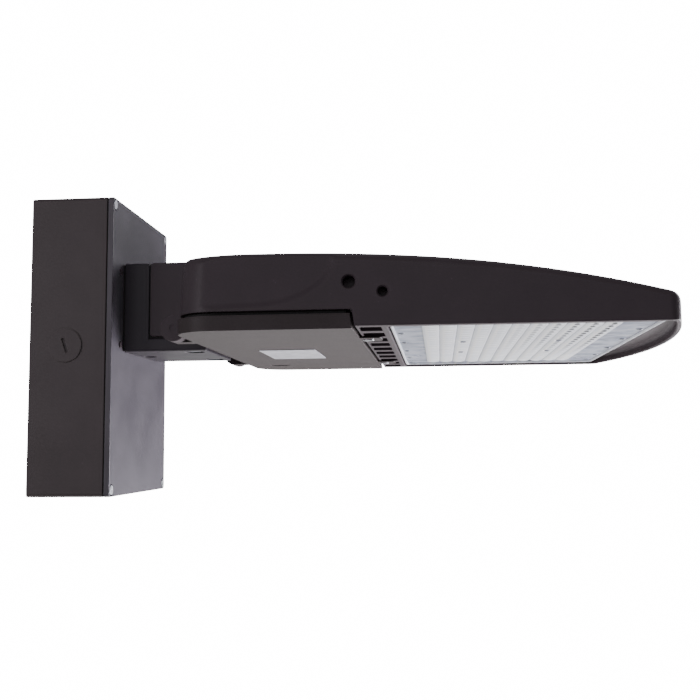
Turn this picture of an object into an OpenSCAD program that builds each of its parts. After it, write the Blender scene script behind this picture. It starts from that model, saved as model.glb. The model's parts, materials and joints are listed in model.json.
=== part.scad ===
// Wall-mounted shoebox area light: wall box, arm, die-cast luminaire.
// Origin: centre of the wall box's back face. +X out along the arm, +Z up.

/* [Wall box] */
// Height of the wall box
box_h = 254; // [220:1:300]
// Width of the wall box
box_w = 158.9; // [150:0.5:190]
// Depth of the box's side sheet
box_d = 66; // [60:1:90]
// Wall of the box
box_wall = 2.5; // [2:0.1:3.5]
// Radius of the long edges of the box and its cover
box_edge_r = 3; // [1:0.5:5]
// Gap that shows the cover's gasket
seam_gap = 1; // [0.8:0.1:1.6]
// Depth of the cover's lip
cover_lip = 4.6; // [4:0.1:7]
// Distance from the box's edges to its corner screws
corner_inset = 5.75; // [5.5:0.25:6.5]
// Spacing of the wall bolts across
wall_bolt_across = 114.3; // [100:0.1:120]
// Spacing of the wall bolts up
wall_bolt_up = 203.2; // [180:0.1:210]
// Hole for a wall bolt
wall_bolt_hole_d = 7.2; // [6:0.2:9]
// Wire entry in the box's back
wire_entry_d = 28.4; // [22:0.2:34]
// Conduit plug in the box's side
conduit_plug_d = 27.4; // [22:0.2:34]
// Place of the conduit plug, out from the wall
conduit_plug_x = 31.5; // [26:0.5:36]

/* [Arm] */
// Width of the arm
arm_w = 101.8; // [96:0.2:110]
// Height of the arm
arm_h = 77.6; // [74:0.2:84]
// Underside of the arm
arm_z = -3.5; // [-3.6:0.1:-3.2]
// Length of the arm's full-height block
arm_block_len = 21.7; // [20:0.1:30]
// Height of the shelf under the neck
shelf_h = 11.7; // [11.3:0.1:12]
// Length of the shelf
shelf_len = 50.5; // [49:0.1:50.8]
// Wire channel through the arm
channel_d = 32; // [24:1:36]
// Thickness of the arm's gaskets
gasket_t = 1.2; // [1:0.1:1.6]
// Neck bolts, each side of the middle
neck_bolt_y = 37; // [34:0.5:40]
// Access hole for a neck bolt
neck_access_d = 17.5; // [16:0.5:19]

/* [Housing] */
// Width of the housing
housing_w = 370.6; // [360:0.2:400]
// Length of the housing, nose to rear wall
housing_len = 386; // [386:1:400]
// Top edge of the housing's side at its highest, over its bottom rim
side_h = 53.9; // [52:0.1:60]
// Fall of the side's top edge to the nose
nose_fall = 34; // [30:0.5:36]
// Rise of the top from its side to its middle, over the driver
crown_rear = 21; // [18:0.5:24]
// Rise of the top from its side to its middle, at the nose
crown_nose = 8; // [6:0.5:12]
// Radius of the nose, seen from above
nose_r = 600; // [560:10:700]
// Radius of the front corners
front_corner_r = 12; // [9:0.5:16]
// Radius of the rear corners
rear_corner_r = 32; // [28:0.5:36]
// Radius of the shoulder round the top
shoulder_r = 5; // [3:0.5:7]
// Wall of the casting
casting_wall = 3.2; // [2.8:0.1:4]
// Bottom rim of the casting
rim_z = -1.5; // [-1.8:0.1:-1.2]
// Hinge axis of the driver door, behind the rear wall
hinge_back = 14; // [13.5:0.1:15]
// Height of the hinge axis
hinge_z = 6.8; // [6.4:0.1:7.2]
// Radius of a hinge knuckle
knuckle_r = 10.3; // [9.6:0.1:10.6]
// Middle of each hinge, from the part's middle
hinge_y = 113; // [108:1:120]
// Length of each hinge, lug and knuckle together
hinge_len = 26; // [22:1:30]
// Diameter of a hinge pin
hinge_pin_d = 6; // [5:0.5:7]
// Large side hole
side_hole_d = 12.8; // [10:0.2:14]
// Small side hole
side_hole_small_d = 8.5; // [7:0.1:10]

/* [Driver door] */
// Length of the door, along the arm
door_len = 133.7; // [133:0.1:134]
// Gap between the door's front edge and the vent grille
door_gap = 1.9; // [1.6:0.1:2.2]
// How far the door stands in from the housing's side
door_inset = 1.7; // [1.2:0.1:2.2]
// Depth of the door pan
door_h = 12.4; // [12:0.1:13]
// Wall of the door
door_wall = 2.6; // [2.2:0.1:3]
// Gap over the door's wall
door_seam = 1.5; // [1.2:0.1:2]
// Middle of each screw tab
tab_y = 108; // [100:1:116]
// Width of a screw tab
tab_w = 22; // [18:1:24]
// Thickness of a screw tab
tab_t = 2.4; // [2.2:0.1:3]
// Diameter of a door screw
door_screw_d = 5; // [4:0.5:5]

/* [Lamp window] */
// Length of the lamp window, along the arm
window_len = 194.8; // [194:0.1:195]
// Width of the lamp window
window_w = 355; // [345:1:356]
// Depth of the window below the rim
window_recess = 2.4; // [2:0.1:2.6]
// Thickness of the lens plate
lens_t = 2; // [1.6:0.1:2.4]
// Spacing of the lenses
lens_pitch = 13.3; // [12.6:0.1:13.6]
// Number of lens rows, along the arm
lens_rows = 11; // [9:2:11]
// Number of lenses in a row
lens_columns = 22; // [18:2:24]
// Width of a lens
lens_d = 10.4; // [9:0.2:11.6]
// How far a lens stands out
lens_rise = 1.4; // [1:0.1:1.8]
// Length of the vent slots
slot_len = 15.3; // [12:0.1:16]
// Width of the vent slots
slot_w = 23; // [18:0.5:26]
// Number of vent slots
slots = 10; // [6:2:10]
// Number of cooling fin gaps
fin_gaps = 24; // [18:1:26]
// Width of a fin gap
fin_gap_w = 10; // [8:0.5:11]

/* [Driver] */
// Length of the LED driver
driver_len = 190; // [150:5:190]
// Width of the LED driver
driver_w = 62; // [50:1:64]
// Height of the LED driver
driver_h = 36; // [30:1:37]

/* [Hidden] */
$fn = 48;
eps = 0.01;
bronze = [0.22, 0.2, 0.21];
dark_bronze = [0.17, 0.155, 0.165];
rubber_black = [0.09, 0.09, 0.1];
zinc = [0.72, 0.73, 0.75];
clear_blue = [0.78, 0.84, 0.9];
play = 0.1;
hinge_play = 0.05;

// places worked out from the sizes, from the wall outwards
cover_x = box_d + seam_gap;
plate_x = cover_x + cover_lip;
plate_t = 2.5;
arm_x = plate_x + gasket_t;
block_x = arm_x + arm_block_len;
neck_x = block_x + gasket_t;
shelf_x = block_x + shelf_len;
arm_top = arm_z + arm_h;
shelf_top = arm_z + shelf_h;
neck_z = shelf_top + gasket_t;
channel_z = arm_z + 41.5;
rear_x = neck_x + 55.8;
nose_x = rear_x + housing_len;
half_w = housing_w / 2;
side_top = rim_z + side_h;
hinge_x = rear_x - hinge_back;
door_x = rear_x - 1.5;
door_front = door_x + door_len;
door_z = rim_z - 1.5;
door_top = door_z + door_h;
seam_top = door_top + door_seam;
door_half = half_w - door_inset;
grille_x = door_front + door_gap;
slot_x = grille_x + 3;
window_x = slot_x + slot_len + 6.5;
window_front = window_x + window_len;
window_z = rim_z + window_recess;
gasket_z = window_z + lens_t;
board_t = 1.6;
chip_t = 0.8;
floor_z = rim_z + 8.5;
floor_top = floor_z + 6;
lens_mid = window_x + window_len / 2 - 2.3;
tab_x = grille_x + slot_len + 0.2;
tab_z = rim_z - 0.2 - tab_t;
tab_screw_x = grille_x + 6;
fins_x = window_x + 3;
fins_front = window_front - 22;
high_x = rear_x + 51.5;

// ---------- shared shapes ----------
module both() { for (side = [-1, 1]) scale_y(side) children(); }
module scale_y(side) {
  if (side > 0) children();
  else mirror([0, 1, 0]) children();
}
module rod(x, y, z, d, len) { translate([x, y, z]) cylinder(h = len, d = d); }
module rod_x(x, y, z, d, len) { translate([x, y, z]) rotate([0, 90, 0]) cylinder(h = len, d = d); }
module rod_y(x, y, z, d, len) { translate([x, y, z]) rotate([-90, 0, 0]) cylinder(h = len, d = d); }
module block(x, y, z, sx, sy, sz) { translate([x, y, z]) cube([sx, sy, sz]); }

// plate standing on the YZ plane with four rounded corners
module upright_plate(x, t, w, h, r, z = 0) {
  translate([x, 0, z]) rotate([90, 0, 90]) linear_extrude(t) rounded(w, h, r);
}
// plate lying flat with four rounded corners, from x along the arm
module flat_plate(x, z, len, w, t, r) {
  translate([x + len / 2, 0, z]) linear_extrude(t) rounded(len, w, r);
}
module rounded(a, b, r) {
  union() {
    square([a - 2 * r, b], center = true);
    square([a, b - 2 * r], center = true);
    for (i = [-1, 1]) {
      for (j = [-1, 1]) translate([i * (a / 2 - r), j * (b / 2 - r)]) circle(r = r);
    }
  }
}
// pan-head or hex-head screw along +X, its head's seat at x = 0
module screw_x(d, len, head_d, head_h, sides) {
  union() {
    translate([-head_h, 0, 0]) rotate([0, 90, 0]) cylinder(h = head_h, d = head_d, $fn = sides);
    translate([-eps, 0, 0]) rotate([0, 90, 0]) cylinder(h = len + eps, d = d);
  }
}
module screw_up(d, len, head_d, head_h, sides) { rotate([0, -90, 0]) screw_x(d, len, head_d, head_h, sides); }
module screw_down(d, len, head_d, head_h, sides) { rotate([0, 90, 0]) screw_x(d, len, head_d, head_h, sides); }

// tube of 8 sides swept along a route of points
function unit(v) = v / norm(v);
function route_dir(r, i) = unit(r[min(i + 1, len(r) - 1)] - r[max(i - 1, 0)]);
function route_side(d) = unit(cross(d, abs(d[2]) > 0.9 ? [0, 1, 0] : [0, 0, 1]));
module tube(route, d, sides = 8) {
  rings = [for (i = [0:len(route) - 1])
    let (t = route_dir(route, i), s = route_side(t), u = cross(s, t))
    each [for (k = [0:sides - 1]) route[i] + d / 2 * (cos(360 * k / sides) * s + sin(360 * k / sides) * u)]];
  last = len(route) - 1;
  polyhedron(rings, concat(
    [[for (k = [sides - 1:-1:0]) k]],
    [for (i = [0:last - 1]) for (k = [0:sides - 1])
      let (a = i * sides + k, b = i * sides + (k + 1) % sides) [a, b, b + sides, a + sides]],
    [[for (k = [0:sides - 1]) last * sides + k]]));
}

// ---------- housing outline and top ----------
// outline from above, drawn in by d: nose arc, front corners, sides and rear corners
nose_mid_x = nose_x - nose_r;
corner_y = half_w - front_corner_r;
corner_x = nose_mid_x + sqrt(pow(nose_r - front_corner_r, 2) - corner_y * corner_y);
nose_swing = asin(corner_y / (nose_r - front_corner_r));
function arc(cx, cy, r, a, b, n) = [for (i = [0:n])
  let (t = a + (b - a) * i / n) [cx + r * cos(t), cy + r * sin(t)]];
function outline_half(d) = concat(
  arc(nose_mid_x, 0, nose_r - d, 0, nose_swing, 10),
  arc(corner_x, corner_y, max(front_corner_r - d, 0.5), nose_swing + 12, 90, 4),
  [for (i = [1:7]) [corner_x + (rear_x + rear_corner_r - corner_x) * i / 8, half_w - d]],
  arc(rear_x + rear_corner_r, half_w - rear_corner_r, rear_corner_r - d, 90, 180, 6),
  [for (i = [1:3]) [rear_x + d, (half_w - rear_corner_r) * (1 - i / 4)]]);
function outline(d) = let (h = outline_half(d), n = len(h))
  concat(h, [[rear_x + d, 0]], [for (i = [n - 1:-1:1]) [h[i][0], -h[i][1]]]);
function edge_z(x) = x > high_x
  ? side_top - nose_fall * pow((x - high_x) / 305, 2.4)
  : side_top - 2.5 * pow((high_x - x) / 42, 2);
function crown(x) = x > high_x
  ? crown_rear - (crown_rear - crown_nose) * pow((x - high_x) / 334.5, 2)
  : crown_rear;
function top_z(x, y) = edge_z(x) + crown(x) * (1 - pow(y / half_w, 2));
// the rear wall leans forward a little towards its top
function lean(p, z) = p[0] < high_x ? (z - rim_z) * 0.065 * (high_x - p[0]) / 51.5 : 0;
// closed shell under the top, drawn in by d from the outside
module shell(d, bottom) {
  mid = [(rear_x + nose_x) / 2, 0];
  r = max(shoulder_r - d, 0.6);
  steps = [90, 60, 35, 12];
  base = outline(d);
  n = len(base);
  foot = [for (p = base) [p[0] + lean(p, bottom), p[1], bottom]];
  rise = [for (a = steps)
    let (o = outline(d + r * (1 - sin(a))))
    each [for (p = o) let (z = top_z(p[0], p[1]) - d - r * (1 - cos(a))) [p[0] + lean(p, z), p[1], z]]];
  inner = outline(d + r);
  fill = [for (s = [1, 0.8, 0.6, 0.4, 0.2])
    each [for (p = inner)
      let (x = mid[0] + (p[0] - mid[0]) * s, y = p[1] * s, z = top_z(x, y) - d)
      [x + lean([x, y], z), y, z]]];
  points = concat(foot, rise, fill, [[mid[0], 0, top_z(mid[0], 0) - d]]);
  rings = (len(points) - 1) / n;
  polyhedron(points, concat(
    [[for (i = [0:n - 1]) i]],
    [for (k = [0:rings - 2]) for (i = [0:n - 1])
      let (a = k * n + i, b = k * n + (i + 1) % n)
      each [[a, b + n, b], [a, a + n, b + n]]],
    [for (i = [0:n - 1]) [(rings - 1) * n + i, len(points) - 1, (rings - 1) * n + (i + 1) % n]]));
}

// ---------- wall box ----------
corner_screws = [for (i = [-1, 1]) for (j = [-1, 1])
  [i * (box_w / 2 - corner_inset), j * (box_h / 2 - corner_inset)]];
cover_screw_d = 5;
module wall_box() {
  hub_d = conduit_plug_d + 9;
  hub_len = 13;
  color(bronze) difference() {
    union() {
      difference() {
        upright_plate(0, box_d, box_w, box_h, box_edge_r);
        upright_plate(box_wall, box_d, box_w - 2 * box_wall, box_h - 2 * box_wall, 1);
      }
      for (p = corner_screws) rod_x(box_d - 24, p[0], p[1], 10, 24);
      both() rod_y(conduit_plug_x, box_w / 2 - hub_len, 0, hub_d, hub_len - 1);
    }
    for (p = corner_screws) rod_x(box_d - 20, p[0], p[1], cover_screw_d + play, 25);
    both() rod_y(conduit_plug_x, box_w / 2 - hub_len - 1, 0, conduit_plug_d + play, hub_len + 2);
    rod_x(-1, 0, 0, wire_entry_d, box_wall + 2);
    for (i = [-1, 1]) {
      for (j = [-1, 1]) {
        rod_x(-1, i * wall_bolt_across / 2, j * wall_bolt_up / 2, wall_bolt_hole_d, box_wall + 2);
      }
    }
    rod_x(-1, 0, -ground_z, ground_d, box_wall + 2);
  }
}
seal_land = 12;
module box_gasket() {
  color(rubber_black) difference() {
    upright_plate(box_d, seam_gap, box_w - 2.4, box_h - 2.4, box_edge_r);
    upright_plate(box_d - 1, seam_gap + 2, box_w - 2 * seal_land, box_h - 2 * seal_land, 2);
    for (p = corner_screws) rod_x(box_d - 1, p[0], p[1], cover_screw_d + 1, seam_gap + 2);
  }
}
cover_recess_d = 10;
cover_head_d = 8.2;
cover_seat = 1.5;
module box_cover() {
  color(bronze) difference() {
    union() {
      difference() {
        upright_plate(cover_x, cover_lip, box_w, box_h, box_edge_r);
        upright_plate(cover_x - 1, cover_lip - plate_t + 1, box_w - 2 * box_wall, box_h - 2 * box_wall, 1);
      }
      for (p = corner_screws) rod_x(cover_x, p[0], p[1], 2 * corner_inset, cover_lip - 0.5);
    }
    for (p = corner_screws) {
      rod_x(cover_x - 1, p[0], p[1], cover_screw_d + 1, cover_lip + 2);
      rod_x(plate_x - cover_seat, p[0], p[1], cover_recess_d, 5);
    }
    rod_x(cover_x - 1, 0, channel_z, channel_d + 6, cover_lip + 2);
    arm_bolt_holes(cover_x - 1, cover_lip + 2);
    rivet_holes(cover_x - 1, cover_lip + 2);
  }
}
module cover_screws() {
  color(zinc) for (p = corner_screws) {
    translate([plate_x - cover_seat, p[0], p[1]]) mirror([1, 0, 0]) difference() {
      screw_x(cover_screw_d, 18, cover_head_d, 1.9, 48);
      block(-2.5, -0.5, -cover_head_d, 1.2, 1, 2 * cover_head_d);
    }
  }
}
plug_turn = 19;
module conduit_plugs() {
  rim_t = 1.1;
  color(bronze) both() translate([conduit_plug_x, box_w / 2, 0]) difference() {
    union() {
      rod_y(0, -11, 0, conduit_plug_d, 11 + eps);
      rod_y(0, 0, 0, conduit_plug_d + 1.4, rim_t);
    }
    rotate([0, -plug_turn, 0]) block(-1.25, rim_t - 1.6, -6.3, 2.5, 5, 12.6);
    rod_y(0, -12, 0, conduit_plug_d - 6, 8);
  }
}
ground_z = 70;
ground_d = 4.8;
module ground_screw() {
  color([0.2, 0.5, 0.28]) translate([box_wall, 0, -ground_z]) mirror([1, 0, 0])
    screw_x(ground_d - play, box_wall, 9.5, 3, 6);
}

// ---------- arm ----------
arm_bolt_d = 8;
arm_bolt_side = 12.9;
arm_bolt_low = 12;
arm_bolt_drop = 15.6;
arm_bolts_yz = [for (i = [-1, 1]) for (z = [arm_bolt_low, arm_h - arm_bolt_drop])
  [i * (arm_w / 2 - arm_bolt_side), arm_z + z]];
module arm_bolt_holes(x, len) { for (p = arm_bolts_yz) rod_x(x, p[0], p[1], arm_bolt_d + 0.6, len); }
// the backing plate lies inside the box gasket, and its rivets stand in from its edge, beside the arm
backing_gap = 3.05;
backing_w = box_w - 2 * seal_land - 2 * backing_gap;
rivet_edge = 6;
rivet_low = 5.5;
rivet_drop = 8.6;
plate_rivet_yz = [for (i = [-1, 1]) for (z = [rivet_low, arm_h - rivet_drop])
  [i * (backing_w / 2 - rivet_edge), arm_z + z]];
rivet_d = 4;
module rivet_holes(x, len) { for (p = plate_rivet_yz) rod_x(x, p[0], p[1], rivet_d + play, len); }
backing_t = 4;
backing_x = plate_x - plate_t - backing_t;
module backing_plate() {
  color(zinc) difference() {
    upright_plate(backing_x, backing_t, backing_w, arm_h + 16, 4, arm_z + arm_h / 2);
    rod_x(backing_x - 1, 0, channel_z, channel_d + 6, backing_t + 2);
    arm_bolt_holes(backing_x - 1, backing_t + 2);
    rivet_holes(backing_x - 1, backing_t + 2);
  }
}
module plate_rivets() {
  grip = plate_t + backing_t;
  color(dark_bronze) for (p = plate_rivet_yz) {
    translate([backing_x, p[0], p[1]]) union() {
      rod_x(0, 0, 0, rivet_d, grip);
      rod_x(-1.5, 0, 0, 6.6, 1.5);
      rod_x(grip, 0, 0, 5.6, 1.3);
    }
  }
}
washer_t = 1.6;
module arm_washers() {
  color(zinc) for (p = arm_bolts_yz) {
    translate([backing_x - washer_t, p[0], p[1]]) difference() {
      rod_x(0, 0, 0, 16, washer_t);
      rod_x(-1, 0, 0, arm_bolt_d + 0.4, washer_t + 2);
    }
  }
}
arm_bolt_len = backing_t + plate_t + gasket_t + washer_t + 17;
module arm_bolts() {
  color(zinc) for (p = arm_bolts_yz) translate([backing_x - washer_t, p[0], p[1]])
    screw_x(arm_bolt_d, arm_bolt_len, 14.4, 5.3, 6);
}
module wire_bushing() {
  x = backing_x - 2.5;
  through = plate_x - x;
  color(rubber_black) difference() {
    union() {
      rod_x(x, 0, channel_z, channel_d + 6 - play, through);
      rod_x(x, 0, channel_z, channel_d + 12, 2.5);
    }
    rod_x(x - 1, 0, channel_z, channel_d - 2, through + 2);
  }
}
module arm_gasket() {
  color(rubber_black) difference() {
    upright_plate(plate_x, gasket_t, arm_w - 2, arm_h - 2, 2, arm_z + arm_h / 2);
    rod_x(plate_x - 1, 0, channel_z, channel_d, gasket_t + 2);
    arm_bolt_holes(plate_x - 1, gasket_t + 2);
  }
}
groove = 1.5;
neck_bolt_d = 8;
neck_bolt_x = neck_x + 36;
access_depth = 7;
module arm() {
  color(bronze) difference() {
    union() {
      upright_plate(arm_x, arm_block_len, arm_w, arm_h, 2, arm_z + arm_h / 2);
      upright_plate(arm_x, shelf_x - arm_x, arm_w, shelf_h, 2, arm_z + shelf_h / 2);
    }
    rod_x(arm_x - 1, 0, channel_z, channel_d, arm_block_len + 2);
    for (p = arm_bolts_yz) rod_x(arm_x - 1, p[0], p[1], arm_bolt_d + play, 20);
    both() rod(neck_bolt_x, neck_bolt_y, arm_z - 1, neck_access_d, access_depth + 1);
    both() rod(neck_bolt_x, neck_bolt_y, arm_z - 1, neck_bolt_d + 1, shelf_h + 2);
    rod(arm_x + 7.5, 0, arm_z - 1, 12, channel_z - arm_z);
  }
}
// L-shaped gasket between the arm and the neck, set in from the sides to leave a groove
module neck_gasket() {
  color(rubber_black) difference() {
    translate([0, arm_w / 2 - groove, 0]) rotate([90, 0, 0]) linear_extrude(arm_w - 2 * groove)
      polygon([[block_x, shelf_top], [shelf_x - groove, shelf_top], [shelf_x - groove, neck_z],
               [neck_x + 2, neck_z], [neck_x, neck_z + 2], [neck_x, arm_top - groove],
               [block_x, arm_top - groove]]);
    rod_x(block_x - 1, 0, channel_z, channel_d, gasket_t + 2);
    both() rod(neck_bolt_x, neck_bolt_y, shelf_top - 1, neck_bolt_d + 1, gasket_t + 2);
  }
}
module neck_washers() {
  z = arm_z + access_depth - washer_t;
  color(zinc) both() difference() {
    rod(neck_bolt_x, neck_bolt_y, z, 16, washer_t);
    rod(neck_bolt_x, neck_bolt_y, z - 1, neck_bolt_d + 0.4, washer_t + 2);
  }
}
neck_bolt_len = shelf_top - arm_z - access_depth + washer_t + gasket_t + 17;
module neck_bolts() {
  color(zinc) both() translate([neck_bolt_x, neck_bolt_y, arm_z + access_depth - washer_t])
    screw_up(neck_bolt_d, neck_bolt_len, 14.4, 4.6, 6);
}

// ---------- housing ----------
neck_side = arm_w / 2 + 1;
driver_bay_x = rear_x + casting_wall + 1.5;
bay_front = door_front - door_wall;
land_w = 13;
land_t = 3;
lug_len = hinge_len / 2;
// the shallow side panel's edge: a quarter of an ellipse, then a level run to the rear
panel_depth = 2.2;
panel_mid_x = high_x + 7.5;
panel_edge = concat(
  [for (i = [0:9]) let (a = -10 * i) [panel_mid_x + 60.5 * cos(a), side_top - 1.4 + 35.5 * sin(a)]],
  [[rear_x + 20, seam_top + 2.6], [rear_x - 10, seam_top + 2.4], [rear_x - 10, side_top + 30],
   [panel_mid_x + 60.5, side_top + 30]]);
fin_pitch = (window_w - 22) / fin_gaps;
module housing() {
  color(dark_bronze) difference() {
    union() {
      difference() {
        shell(0, rim_z);
        // room for the door
        block(rear_x - 20, -half_w - 5, rim_z - 5, grille_x - rear_x + 20, housing_w + 10,
              seam_top - rim_z + 5);
        // driver bay, over the sealing land
        intersection() {
          shell(casting_wall, seam_top - 5);
          block(rear_x, -half_w, seam_top + land_t, grille_x - rear_x, housing_w, 90);
        }
        flat_plate(driver_bay_x + 7, seam_top - 2, bay_front - driver_bay_x - 14, 2 * (half_w - land_w),
                   land_t + 4, 12);
        both() side_panel();
        fin_gaps_cut();
        nose_pocket();
      }
      neck();
      both() hinge_lug();
      bay_bosses();
      both() side_bosses();
      lead_boss();
      both() rod(tab_screw_x, tab_y, rim_z, 12, 16);
    }
    neck_hollow();
    window_pocket();
    vent_slots();
    both() rod(tab_screw_x, tab_y, rim_z - 1, door_screw_d + 1.4, 14);
    both() rod_y(hinge_x, hinge_y - 1, hinge_z, hinge_pin_d, lug_len + 2);
    both() rod(neck_bolt_x, neck_bolt_y, neck_z - 1, neck_bolt_d + play, 20);
    for (p = lens_screw_xy) rod(p[0], p[1], floor_z - 1, lens_screw_d + play, 6);
    both() side_holes();
    lamp_lead_way();
    for (p = tray_screw_xy) rod(p[0], p[1], tray_z + tray_t - 1, tray_screw_d + play, 13);
  }
}
module side_panel() {
  translate([0, half_w - panel_depth, 0]) rotate([90, 0, 0]) mirror([0, 0, 1])
    linear_extrude(20) polygon(panel_edge);
}
module fin_gaps_cut() {
  for (i = [0:fin_gaps - 1]) {
    y = (i - (fin_gaps - 1) / 2) * fin_pitch;
    block(fins_x, y - fin_gap_w / 2, floor_top, fins_front - fins_x, fin_gap_w, 100);
  }
}
// underside of the nose: hollow between the window's front wall and a thin rim
module nose_pocket() {
  roof = rim_z + 10;
  intersection() {
    block(window_front + 3, -half_w, rim_z - 1, 60, housing_w, roof - rim_z + 1);
    translate([0, 0, rim_z - 1]) linear_extrude(roof) intersection() {
      translate([nose_mid_x, 0]) circle(r = nose_r - 3, $fn = 240);
      translate([window_front - 60, 0]) rounded(400, housing_w - 11, 9);
    }
  }
}
module neck() {
  root = rear_x + 8;
  difference() {
    translate([0, neck_side, 0]) rotate([90, 0, 0]) linear_extrude(2 * neck_side)
      polygon([[neck_x, neck_z + 2], [neck_x + 2, neck_z], [rear_x + 6, neck_z], [root, seam_top],
               [root, arm_top - 3], [rear_x, arm_top], [neck_x + 2, arm_top], [neck_x, arm_top - 2]]);
    block(rear_x, -half_w, rim_z, 40, housing_w, seam_top - rim_z);
  }
}
module neck_hollow() {
  rod_x(neck_x - 1, 0, channel_z, channel_d, 10);
  block(neck_x + 5, -28, channel_z - 18, rear_x - neck_x + 16, 56, 40);
}
module hinge_lug() {
  y = hinge_y;
  union() {
    rod_y(hinge_x, y, hinge_z, 2 * knuckle_r, lug_len);
    block(hinge_x, y, seam_top, rear_x - hinge_x + 5, lug_len, hinge_z + knuckle_r - seam_top);
  }
}
module bay_bosses() {
  z = tray_z + tray_t;
  for (p = tray_screw_xy) rod(p[0], p[1], z, 11, top_z(p[0], p[1]) - casting_wall - z + 1);
}
// bosses behind the two holes in each side
side_hole_depth = 7;
large_hole_x = grille_x - 3.8;
small_hole_x = grille_x + 19.6;
large_hole_z = rim_z + 32.1;
small_hole_z = rim_z + 24.6;
module side_bosses() {
  rod_y(large_hole_x, half_w - side_hole_depth - 3, large_hole_z, side_hole_d + 7, side_hole_depth + 1);
  rod_y(small_hole_x, half_w - side_hole_depth - 3, small_hole_z, side_hole_small_d + 6, side_hole_depth + 1);
}
module side_holes() {
  rod_y(large_hole_x, half_w - side_hole_depth, large_hole_z, side_hole_d, side_hole_depth + 2);
  rod_y(small_hole_x, half_w - side_hole_depth, small_hole_z, side_hole_small_d, side_hole_depth + 2);
}
module window_pocket() { flat_plate(window_x, rim_z - 5, window_len, window_w, floor_z - rim_z + 5, 6); }
slot_pitch = (housing_w - 19 - slot_w) / (slots - 1);
module vent_slots() {
  for (i = [0:slots - 1]) {
    y = (i - (slots - 1) / 2) * slot_pitch;
    block(slot_x, y - slot_w / 2, rim_z - 1, slot_len, slot_w, 110);
  }
}
// way of the lamp's leads, through the grille's middle bar and down through the lamp floor
lead_z = floor_z + 13;
lead_hole_d = 7;
lamp_lead_d = 2;
lead_apart = 1.6;
lead_down_x = window_x + 13;
module lead_boss() {
  block(window_x - 4, -7, floor_z + 2, lead_down_x - window_x + 10, 14, lead_z - floor_z + 4);
}
module lamp_lead_way() {
  rod_x(grille_x - 12, 0, lead_z, lead_hole_d, lead_down_x - grille_x + 12);
  rod(lead_down_x, 0, floor_z - 1, lead_hole_d, lead_z - floor_z + 1);
}

// ---------- driver door ----------
over_len = 400;
module door_outline(d) {
  intersection() {
    translate([door_x + over_len / 2 + d, 0]) rounded(over_len, 2 * (door_half - d), rear_corner_r - d);
    translate([0, -half_w]) square([door_front - d, housing_w]);
  }
}
finger_x = 20.5;
finger_y = 124;
finger_len = 20;
finger_w = 9;
module driver_door() {
  color(bronze) difference() {
    union() {
      difference() {
        translate([0, 0, door_z]) linear_extrude(door_h) door_outline(0);
        translate([0, 0, door_z + door_wall]) linear_extrude(door_h) door_outline(door_wall + 1.4);
        // the rear wall stands in over its bottom lip, clear of the arm's shelf
        block(door_x - 1, hinge_len / 2 + 2 - hinge_y, door_z + 2, 3, 2 * hinge_y - hinge_len - 4, door_h);
      }
      difference() {
        translate([0, 0, door_z + 1]) linear_extrude(door_gasket_z - door_z - 1) door_outline(door_wall);
        translate([0, 0, door_z + door_wall]) linear_extrude(door_h) door_outline(door_wall + 8);
      }
      both() door_tab();
      both() door_knuckle();
    }
    both() rod_y(hinge_x, hinge_y - lug_len - 1, hinge_z, hinge_pin_d + 2 * hinge_play, lug_len + 2);
    both() rod(tab_screw_x, tab_y, tab_z - 1, door_screw_d + 0.6, tab_t + 2);
    both() rod(tab_screw_x, tab_y, tab_z - 1, door_head_d + 0.8, 2.1);
    // shallow oval finger mark
    translate([0, finger_y, 0]) flat_plate(door_x + finger_x, door_z - 1, finger_len, finger_w, 2.2, 4.4);
  }
}
module door_tab() {
  union() {
    block(door_front - 8, tab_y - tab_w / 2, tab_z, tab_x - door_front + 8 - tab_w / 4, tab_w, tab_t);
    block(tab_x - tab_w / 4 - 2, tab_y - tab_w / 4, tab_z, tab_w / 4 + 2, tab_w / 2, tab_t);
    for (i = [-1, 1]) rod(tab_x - tab_w / 4, tab_y + i * tab_w / 4, tab_z, tab_w / 2, tab_t);
  }
}
module door_knuckle() {
  y = hinge_y - lug_len;
  union() {
    rod_y(hinge_x, y, hinge_z, 2 * knuckle_r, lug_len - 0.5);
    block(hinge_x, y, hinge_z - knuckle_r, door_x - hinge_x + 4, lug_len - 0.5, 8);
    block(hinge_x, y, door_z + 4, door_x - hinge_x + 4, lug_len - 0.5, door_top - door_z - 4);
  }
}
module hinge_pins() {
  color(zinc) both() rod_y(hinge_x, hinge_y - lug_len + 0.5, hinge_z, hinge_pin_d, hinge_len - 1);
}
door_gasket_z = door_z + 8;
module door_gasket() {
  depth = seam_top - door_gasket_z - 0.3;
  color(rubber_black) translate([0, 0, door_gasket_z]) linear_extrude(depth) difference() {
    door_outline(door_wall + 2);
    door_outline(door_wall + 6);
  }
}
door_head_d = 8.6;
door_head_h = 2;
module door_screws() {
  color(zinc) both() translate([tab_screw_x, tab_y, tab_z + 1.1]) difference() {
    screw_up(door_screw_d, 12.5, door_head_d, door_head_h, 48);
    block(-door_head_d, -0.6, -door_head_h - 1, 2 * door_head_d, 1.2, 1.9);
  }
}
// push-on ring that keeps the screw in its tab when it is undone
retainer_t = 0.8;
module door_screw_retainers() {
  color(zinc) both() difference() {
    rod(tab_screw_x, tab_y, rim_z + 0.6, door_screw_d + 1, retainer_t);
    rod(tab_screw_x, tab_y, rim_z, door_screw_d + play, 3);
  }
}
label_t = 0.6;
label_len = 49;
label_w = 82;
label_x = 39.5;
module label_plate() {
  color([0.72, 0.72, 0.74]) flat_plate(door_x + label_x, door_z - label_t, label_len, label_w, label_t, 2);
}

// ---------- driver bay ----------
tray_z = rim_z + 53;
tray_t = 1.5;
tray_x = driver_bay_x + 12;
tray_len = bay_front - driver_bay_x - 26;
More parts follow.
